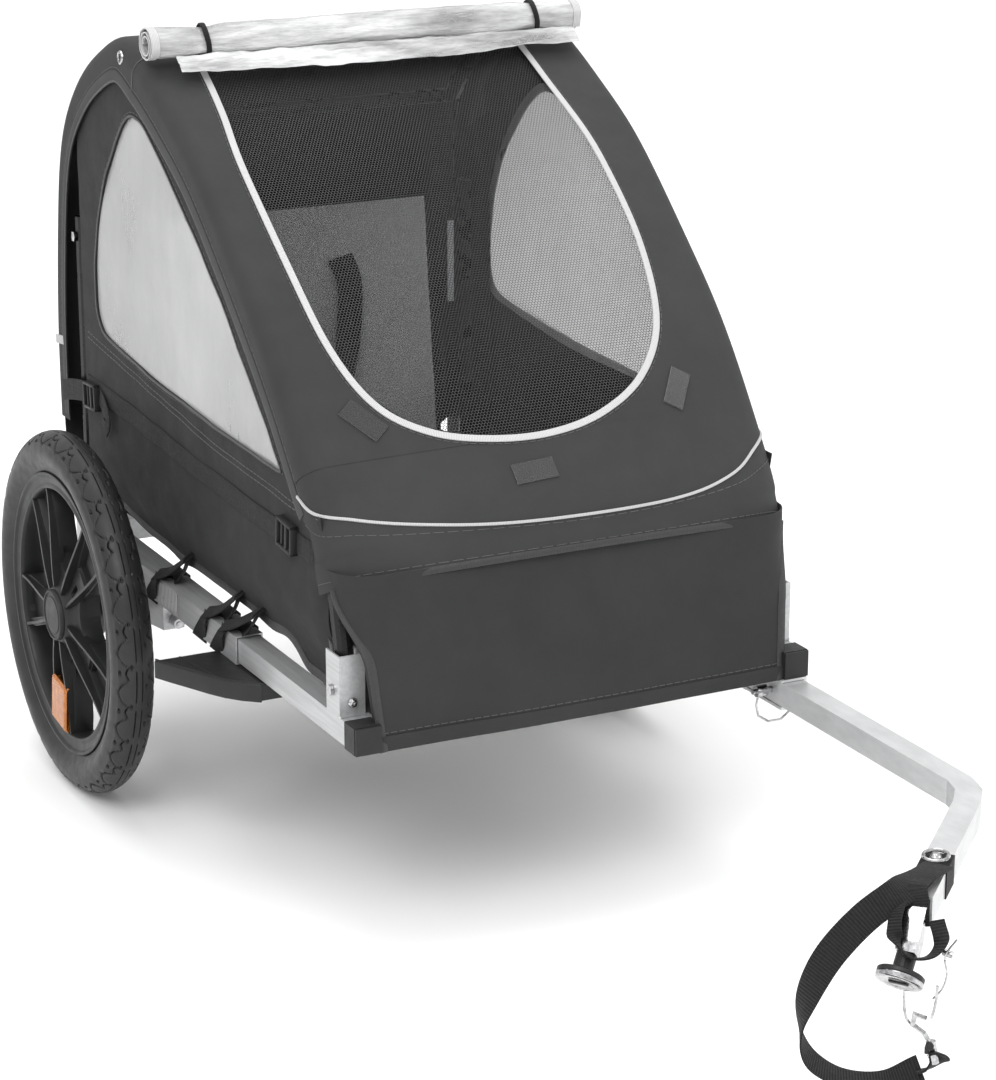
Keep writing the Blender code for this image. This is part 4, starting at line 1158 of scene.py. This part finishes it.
def build_rim(side, sign):
    centre = (sign * WHEEL_X, AXLE_Y, AXLE_Z)
    bead = BEAD_RADIUS
    ring = [(0.0172, bead - 0.0004), (0.0172, bead - 0.0035), (0.0145, bead - 0.006), (0.013, bead - 0.0125),
        (0.0142, bead - 0.0155), (0.0142, 0.1385), (0.0105, 0.1365), (-0.0125, 0.1365), (-0.015, 0.14),
        (-0.0165, bead - 0.003), (-0.0165, bead - 0.0004)]
    rim = raw("rim_casting_" + side, turned(ring + ring[:1], centre, (sign, 0, 0), 160), "rim")
    web = [(0.009, 0.1375), (-0.0125, 0.1375), (-0.0125, 0.042), (-0.026, 0.03), (-0.026, 0.015),
        (0.0215, 0.015), (0.0215, 0.0295), (0.016, 0.0325), (0.0115, 0.042), (0.009, 0.07)]
    body = raw("rim_spokes_" + side, turned(web + web[:1], centre, (sign, 0, 0), 160), "rim")

    def through(a, b, depth):
        return wheel_place(sign, depth - 0.05, b, a)

    def pocket(a, b, depth):
        return wheel_place(sign, 0.001 + depth, b, a)

    for k in range(SPOKES):
        gap = SPOKE_ANGLE + (k + 0.5) * 360 / SPOKES
        arc = [(gap + a, SPOKE_OUTER) for a in range(-24, 25, 4)]
        arch = [(gap + lerp(22, 20, i / 3), lerp(0.12, 0.075, i / 3)) for i in range(4)]
        arch += [(gap + 24 * math.cos(a), 0.066 - 0.017 * math.sin(a))
            for a in (math.pi * i / 10 for i in range(11))]
        arch += [(gap - lerp(20, 22, i / 3), lerp(0.075, 0.12, i / 3)) for i in range(4)]
        cut(body, prism(arc + arch, through, 0.1))
        spoke = SPOKE_ANGLE + k * 360 / SPOKES
        web_cut = [(spoke + a, r) for a, r in ((-9.5, SPOKE_OUTER), (0, SPOKE_OUTER), (9.5, SPOKE_OUTER),
            (9.5, 0.078), (-9.5, 0.078))]
        cut(body, prism(web_cut, pocket, 0.03))
        small = [(spoke + a, r) for a, r in ((-3.5, 0.058), (3.5, 0.058), (4.5, 0.04), (-4.5, 0.04))]
        cut(body, prism(small, through, 0.1))
    rounded(body, 0.0009, 2, 40)
    settle(baked(body), "wheel_" + side, ["wheel_rim_" + side], angle=50)
    rounded(rim, 0.0006, 2, 30)
    settle(baked(rim), "wheel_" + side, angle=40)

    ribs = []
    for k in range(SPOKES):
        spoke = SPOKE_ANGLE + k * 360 / SPOKES
        for hand in (-1, 1):
            path = [wheel_place(sign, lerp(0.0165, 0.0095, ease(s)), lerp(0.031, 0.1375, s),
                spoke + hand * lerp(16, 11.6, s ** 0.6)) for s in (i / 12 for i in range(13))]
            ribs.append(bar(path, (sign, 0, 0), [(0.0021, -0.01), (0.0016, 0.004), (-0.0016, 0.004),
                (-0.0021, -0.01)]))
        ledge = [wheel_place(sign, 0.004, 0.08, spoke + lerp(-11.5, 11.5, i / 8)) for i in range(9)]
        ribs.append(bar(ledge, (sign, 0, 0), [(0.0014, -0.006), (0.001, 0.0026), (-0.001, 0.0026),
            (-0.0014, -0.006)]))
    made("rim_ribs_" + side, joined_mesh(*ribs), "rim", "wheel_" + side, "plastic")

    hub = [(0.0218, 0.0285), (0.0245, 0.0283), (0.0262, 0.0272), (0.0266, 0.0252), (0.0252, 0.0244),
        (0.0252, 0.0215), (0.0262, 0.0205), (0.0266, 0.012), (0.0267, 0.0)]
    made("hub_disc_" + side, turned(hub, centre, (sign, 0, 0), 72), "plastic", "wheel_" + side, "plastic",
        ["hub_cap_" + side])
    build_lens(side, sign, SPOKE_ANGLE + REFLECTOR_SPOKE * 360 / SPOKES)


def build_lens(side, sign, degrees):
    """Amber lens: a round-cornered block whose face is ridged along the spoke."""
    angle = math.radians(degrees)
    ray = Vector((0, -math.cos(angle), math.sin(angle)))
    out = Vector((sign, 0, 0))
    beside = out.cross(ray)
    centre = Vector((sign * WHEEL_X, AXLE_Y, AXLE_Z)) + ray * 0.109
    rows = []
    for i in range(33):
        b = lerp(-0.0275, 0.0275, i / 32)
        row = []
        for k in range(61):
            a = lerp(-0.0225, 0.0225, k / 60)
            inset = max(0.0, abs(b) - 0.022) ** 2 * 90 + max(0.0, abs(a) - 0.018) ** 2 * 120
            ridge = 0.0006 * abs(((k / 60 * 15) % 1) - 0.5) if abs(a) < 0.019 and abs(b) < 0.024 else 0
            row.append(centre + out * (0.019 - inset - ridge) + ray * b + beside * a)
        rows.append(row)
    fabric("lens_" + side, rows, "amber", 0.0075, "wheel_" + side, ["reflector_" + side], offset=-1
        if sign > 0 else 1)


# ---------------------------------------------------------------- frame details
def build_frame_details():
    for side, sign in SIDES:
        x = sign * RAIL_X
        face = sign * (0.015 + 0.0004)
        label = [Vector((x + face, y, RAIL_Z)) for y in (0.452, 0.472, 0.494, 0.516)]
        strip("rail_sticker_" + side, label, (sign, 0, 0), (0.024, 0.0004), "sticker", "silver",
            body="chassis", folds=False)
        bolt = turned([(0, 0.0001), (0.0014, 0.0052), (0.003, 0.0046), (0.0046, 0.0034), (0.0048, 0.0022),
            (0.003, 0.0014), (0.0028, 0.0001)], (x, 0.0335 + 0.0002, 0.262), (0, -1, 0), 24)
        made("post_bolt_" + side, bolt, "steel", "chassis", "steel")
        weld = [Vector((x + sign * 0.0137 * math.cos(k / 9 * 3.2), 0.0335 + 0.03 * k / 24, 0.2485))
            for k in range(9)]
        made("post_weld_" + side, round_bar(weld, 0.0018, 8), "silver", "chassis", "silver")
        for name, y in (("a", 0.330), ("b", 0.378), ("c", 0.520)):
            half, lean = 0.0162, 0.01
            loop = [Vector((x + sign * p.x, y - lean * p.y / half, RAIL_Z + p.y)) for p in square_ring(half)]
            ups = [Vector((q.x - x, 0, q.z - RAIL_Z)).normalized() for q in loop]
            strip(f"rail_wrap_{name}_{side}", loop, ups, (0.020, 0.0018), "black", "webbing", closed=True,
                body="chassis", folds=False)
            for part, drop in (("over", 0.0), ("under", 0.014)):
                top = RAIL_Z + half
                rise = [(sign * (0.2525 - drop), y - 0.006, top + 0.0006),
                    (sign * (0.246 - drop * 0.6), y - 0.03 - drop * 0.4, top + 0.01 - drop * 0.6),
                    (sign * 0.236, y - 0.058 - drop * 0.4, hem_height(y - 0.06) + 0.01),
                    (sign * 0.2375, y - 0.07 - drop * 0.4, hem_height(y - 0.07) + 0.018)]
                strap = bar(smooth(rise, 6), (sign * 0.5, 0, 0.85), flat_section(0.018, 0.0018))
                made(f"rail_strap_{part}_{name}_{side}", strap, "black", "chassis", "webbing")
        build_guard(side, sign)


GUARD = ((-0.2512, 0.3415), (-0.2512, 0.224), (-0.253, 0.225), (-0.268, 0.238), (-0.28, 0.253),
    (-0.2905, 0.272), (-0.3008, 0.295), (-0.3115, 0.3175), (-0.322, 0.3415))


def build_guard(side, sign):
    """A quarter-round step beside the rail: flat top with a moulded rim and one seam line."""
    outline = [(-sign * px, y) for px, y in GUARD]
    plate = raw("guard_plate_" + side, prism(outline, lambda a, b, depth: Vector((a, b, GUARD_TOP - depth)),
        0.0192), "plastic")
    rounded(plate, 0.0016, 3, 30)
    settle(baked(plate), "chassis", ["wheel_guard_" + side])
    tongue = block((0.2262 if sign > 0 else -0.252, 0.226, 0.2012),
        (0.252 if sign > 0 else -0.2262, 0.3405, 0.219), 0.0015, 2)
    made("guard_tongue_" + side, tongue, "plastic", "chassis", "plastic")
    lip = [Vector((-sign * px, y, 0.2196)) for px, y in GUARD[1:]]
    lip = [p + Vector((-sign * 0.0026, 0.0016, 0)) for p in lip]
    made("guard_lip_" + side, round_bar(smooth(lip, 4), 0.0011, 8), "plastic", "chassis", "plastic")
    seam = [Vector((sign * 0.2815, 0.262, 0.2197)), Vector((sign * 0.2945, 0.34, 0.2197))]
    made("guard_seam_" + side, round_bar(seam, 0.0008, 6), "plastic", "chassis", "plastic")


def build_hitch():
    end = Vector((0.048, -0.503, ARM_Z))
    heading = (end - Vector((ARM_X - 0.026, -0.346, ARM_Z))).normalized()
    beside = Vector((heading.y, -heading.x, 0)).normalized()
    half = ARM_SIZE / 2 + 0.0012

    rows = [[end + heading * along + beside * p.x + Vector((0, 0, p.y)) for p in square_ring(half)]
        for along in (-0.094 + 0.036 * k / 8 for k in range(9))]
    wrap = thick(raw("arm_wrap", sheet_mesh(rows, wrap=True), "black"), 0.0018, 1)
    settle(baked(wrap), "tow_arm")
    ring_at = end - heading * 0.076 + Vector((0, 0, half + 0.005))
    loop = [ring_at + heading * (0.013 * math.cos(a)) + beside * (0.011 * math.sin(a))
        for a in (math.tau * k / 24 for k in range(24))]
    made("strap_ring", round_bar(loop, 0.0018, 8, closed=True), "steel", "tow_arm", "steel")
    stud = turned([(0, 0.0001), (0.0042, 0.0001), (0.004, 0.003), (0.002, 0.0052), (0, 0.0056)],
        ring_at - Vector((0, 0, 0.002)), (0, 0, 1), 20)
    made("strap_stud", stud, "steel", "tow_arm", "steel")

    fold = [(0.056, -0.489, 0.2262), (0.044, -0.499, 0.2262), (0.04, -0.508, 0.218), (0.04, -0.5095, 0.208),
        (0.042, -0.508, 0.194)]
    tops = [Vector((0, 0, 1)), Vector((-0.2, -0.2, 1)), Vector((-0.6, -0.6, 0.6)), Vector((-0.7, -0.7, 0.1)),
        Vector((-0.7, -0.7, 0))]
    strip("strap_fold", smooth(fold, 6), smooth(tops, 6), (0.026, 0.0022), "black", "webbing", body="tow_arm",
        folds=False)

    face = KNUCKLE + COUPLER_AXIS * 0.0266
    puck = turned([(0.0, 0.0095), (0.0, 0.0196), (0.001, 0.021), (0.004, 0.021), (0.005, 0.02),
        (0.005, 0.0095)], face, COUPLER_AXIS, 48)
    made("coupler_boot", puck, "rubber", "coupler", "rubber")
    flange = turned([(0.0052, 0.006), (0.0052, 0.0208), (0.0062, 0.0214), (0.0092, 0.0206), (0.01, 0.0185),
        (0.0098, 0.013), (0.0094, 0.012), (0.0094, 0.005)], face, COUPLER_AXIS, 48)
    made("coupler_flange", flange, "steel", "coupler", "steel")
    side = COUPLER_AXIS.cross(Vector((0, 0, 1))).normalized()
    slot = [face + COUPLER_AXIS * 0.0098 + side * s for s in (-0.0085, 0.0, 0.0085)]
    strip("coupler_slot", slot, COUPLER_AXIS, (0.0050, 0.0010), "rubber", "rubber", body="coupler",
        folds=False)
    pin = [(0.057, -0.53, 0.1745), (0.0625, -0.537, 0.173)]
    made("hitch_pin_tip", round_bar(pin, 0.0032, 14), "steel", "tow_arm", "steel")
    lanyard = smooth([(0.066, -0.537, 0.187), (0.056, -0.535, 0.173), (0.0585, -0.535, 0.156),
        (0.056, -0.533, 0.142), (0.048, -0.531, 0.133)], 8)
    made("pin_lanyard", round_bar(lanyard, 0.0009, 8), "steel", "tow_arm", "steel")
    left = (0.03, -0.523, 0.148), (0.0255, -0.521, 0.142), (0.0265, -0.523, 0.118), (0.033, -0.527, 0.108)
    right = (0.05, -0.534, 0.146), (0.049, -0.534, 0.13), (0.046, -0.533, 0.116)
    for name, wire in (("left", left), ("right", right)):
        made("hook_wire_" + name, round_bar(smooth(wire, 6), 0.0013, 8), "steel", "tow_arm", "steel")
    loop = smooth([end + heading * 0.01 + Vector((-0.008, 0.01, 0.012)), (0.02, -0.512, 0.212),
        (0.012, -0.523, 0.196), (0.018, -0.534, 0.18), (0.036, -0.54, 0.178), (0.052, -0.534, 0.186),
        (0.056, -0.52, 0.2)], 8)
    strip("hook_strap", loop, (0, 0.4, 1), (0.014, 0.0020), "black", "webbing", body="tow_arm", folds=False)
    end_loop = smooth([(0.036, -0.529, 0.066), (0.045, -0.533, 0.069), (0.052, -0.537, 0.078),
        (0.05, -0.538, 0.085), (0.044, -0.535, 0.083)], 6)
    strip("strap_end_loop", end_loop, (0.35, 0.2, 0.9), (0.020, 0.0022), "black", "webbing", body="tow_arm",
        folds=False)
    made("hook_stud", turned([(0, 0.0001), (0.004, 0.0001), (0.004, 0.0022), (0.003, 0.0034), (0, 0.0036)],
        Vector((0.04, -0.54, 0.095)), (-0.3, -1, 0.1), 16), "plastic", "hook_thumb", "plastic")


CARRIED = {
    "silver": ("rail_", "front_cross", "rear_cross", "front_post", "upright_foot", "axle_bracket"),
    "pale": ("tow_arm", "arm_bracket"),
    "steel": ("pivot_pin", "lap_bolt", "axle_left", "axle_right", "axle_lock", "arm_pivot", "arm_lock",
              "hitch_tongue",
              "snap_hook", "wheel_bearing"),
    "paint": ("cage_", "rear_upright"),
    "plastic": ("rail_cap", "snap_hook_thumb"),
    "rubber": ("hitch_coupler",),
}


def finish_nodes():
    for name, node in NODES.items():
        look = None
        for key, starts in CARRIED.items():
            if name.startswith(starts):
                look = key
        if look is None or node.hide_render:
            continue
        node.data.materials.clear()
        node.data.materials.append(LOOKS[look])
        node.data.shade_smooth()
        node.data.set_sharp_from_angle(angle=math.radians(35))
        if look in ("silver", "pale", "plastic"):
            wide = 0.0040 if name.startswith("front_post") else 0.0018 if look == "plastic" else 0.0010
            rounded(node, wide, 3, 50)


# ---------------------------------------------------------------- stage
def build_stage():
    data = bpy.data.meshes.new("floor")
    data.from_pydata([(-9, -9, 0), (9, -9, 0), (9, 9, 0), (-9, 9, 0)], [], [(0, 1, 2, 3)])
    floor = bpy.data.objects.new("floor", data)
    bpy.context.scene.collection.objects.link(floor)
    paper = Finish("floor_paper", Roughness=0.9)
    paper.colour(paper.noise(1.5), grey(0.93), grey(0.96))
    data.materials.append(paper.material)
    world = bpy.data.worlds.new("studio")
    bpy.context.scene.world = world
    world.use_nodes = True
    tree = world.node_tree
    places = tree.nodes.new("ShaderNodeTexCoord")
    apart = tree.nodes.new("ShaderNodeSeparateXYZ")
    ramp = tree.nodes.new("ShaderNodeValToRGB")
    tree.links.new(places.outputs["Generated"], apart.inputs[0])
    tree.links.new(apart.outputs["Z"], ramp.inputs["Fac"])
    tree.links.new(ramp.outputs["Color"], tree.nodes["Background"].inputs["Color"])
    ramp.color_ramp.elements[0].position, ramp.color_ramp.elements[1].position = 0.05, 0.55
    ramp.color_ramp.elements[0].color, ramp.color_ramp.elements[1].color = (0.6, 0.6, 0.6, 1), (1.2, 1.2, 1.2,
        1)
    tree.nodes["Background"].inputs["Strength"].default_value = 1.0
    bpy.context.scene.view_settings.view_transform = "Standard"
    for name, place, size, power in (("key", (-2.6, -2.4, 3.6), 2.2, 90), ("fill", (3.2, -2.6, 2.4), 2.6, 35),
            ("top", (0.2, 0.6, 4.2), 3.0, 60)):
        light = bpy.data.objects.new(name, bpy.data.lights.new(name, "AREA"))
        bpy.context.scene.collection.objects.link(light)
        light.data.size, light.data.energy = size, power
        light.location = place
        light.rotation_mode = "QUATERNION"
        light.rotation_quaternion = (Vector((0, 0, 0.4)) - Vector(place)).to_track_quat("-Z", "Y")


def main():
    build_canopy()
    build_trim()
    for side, sign in SIDES:
        build_side(side, sign)
        build_tyre(side, sign)
        build_rim(side, sign)
    build_front()
    build_interior()
    build_roll()
    build_frame_details()
    build_hitch()
    finish_nodes()
    build_stage()


main()
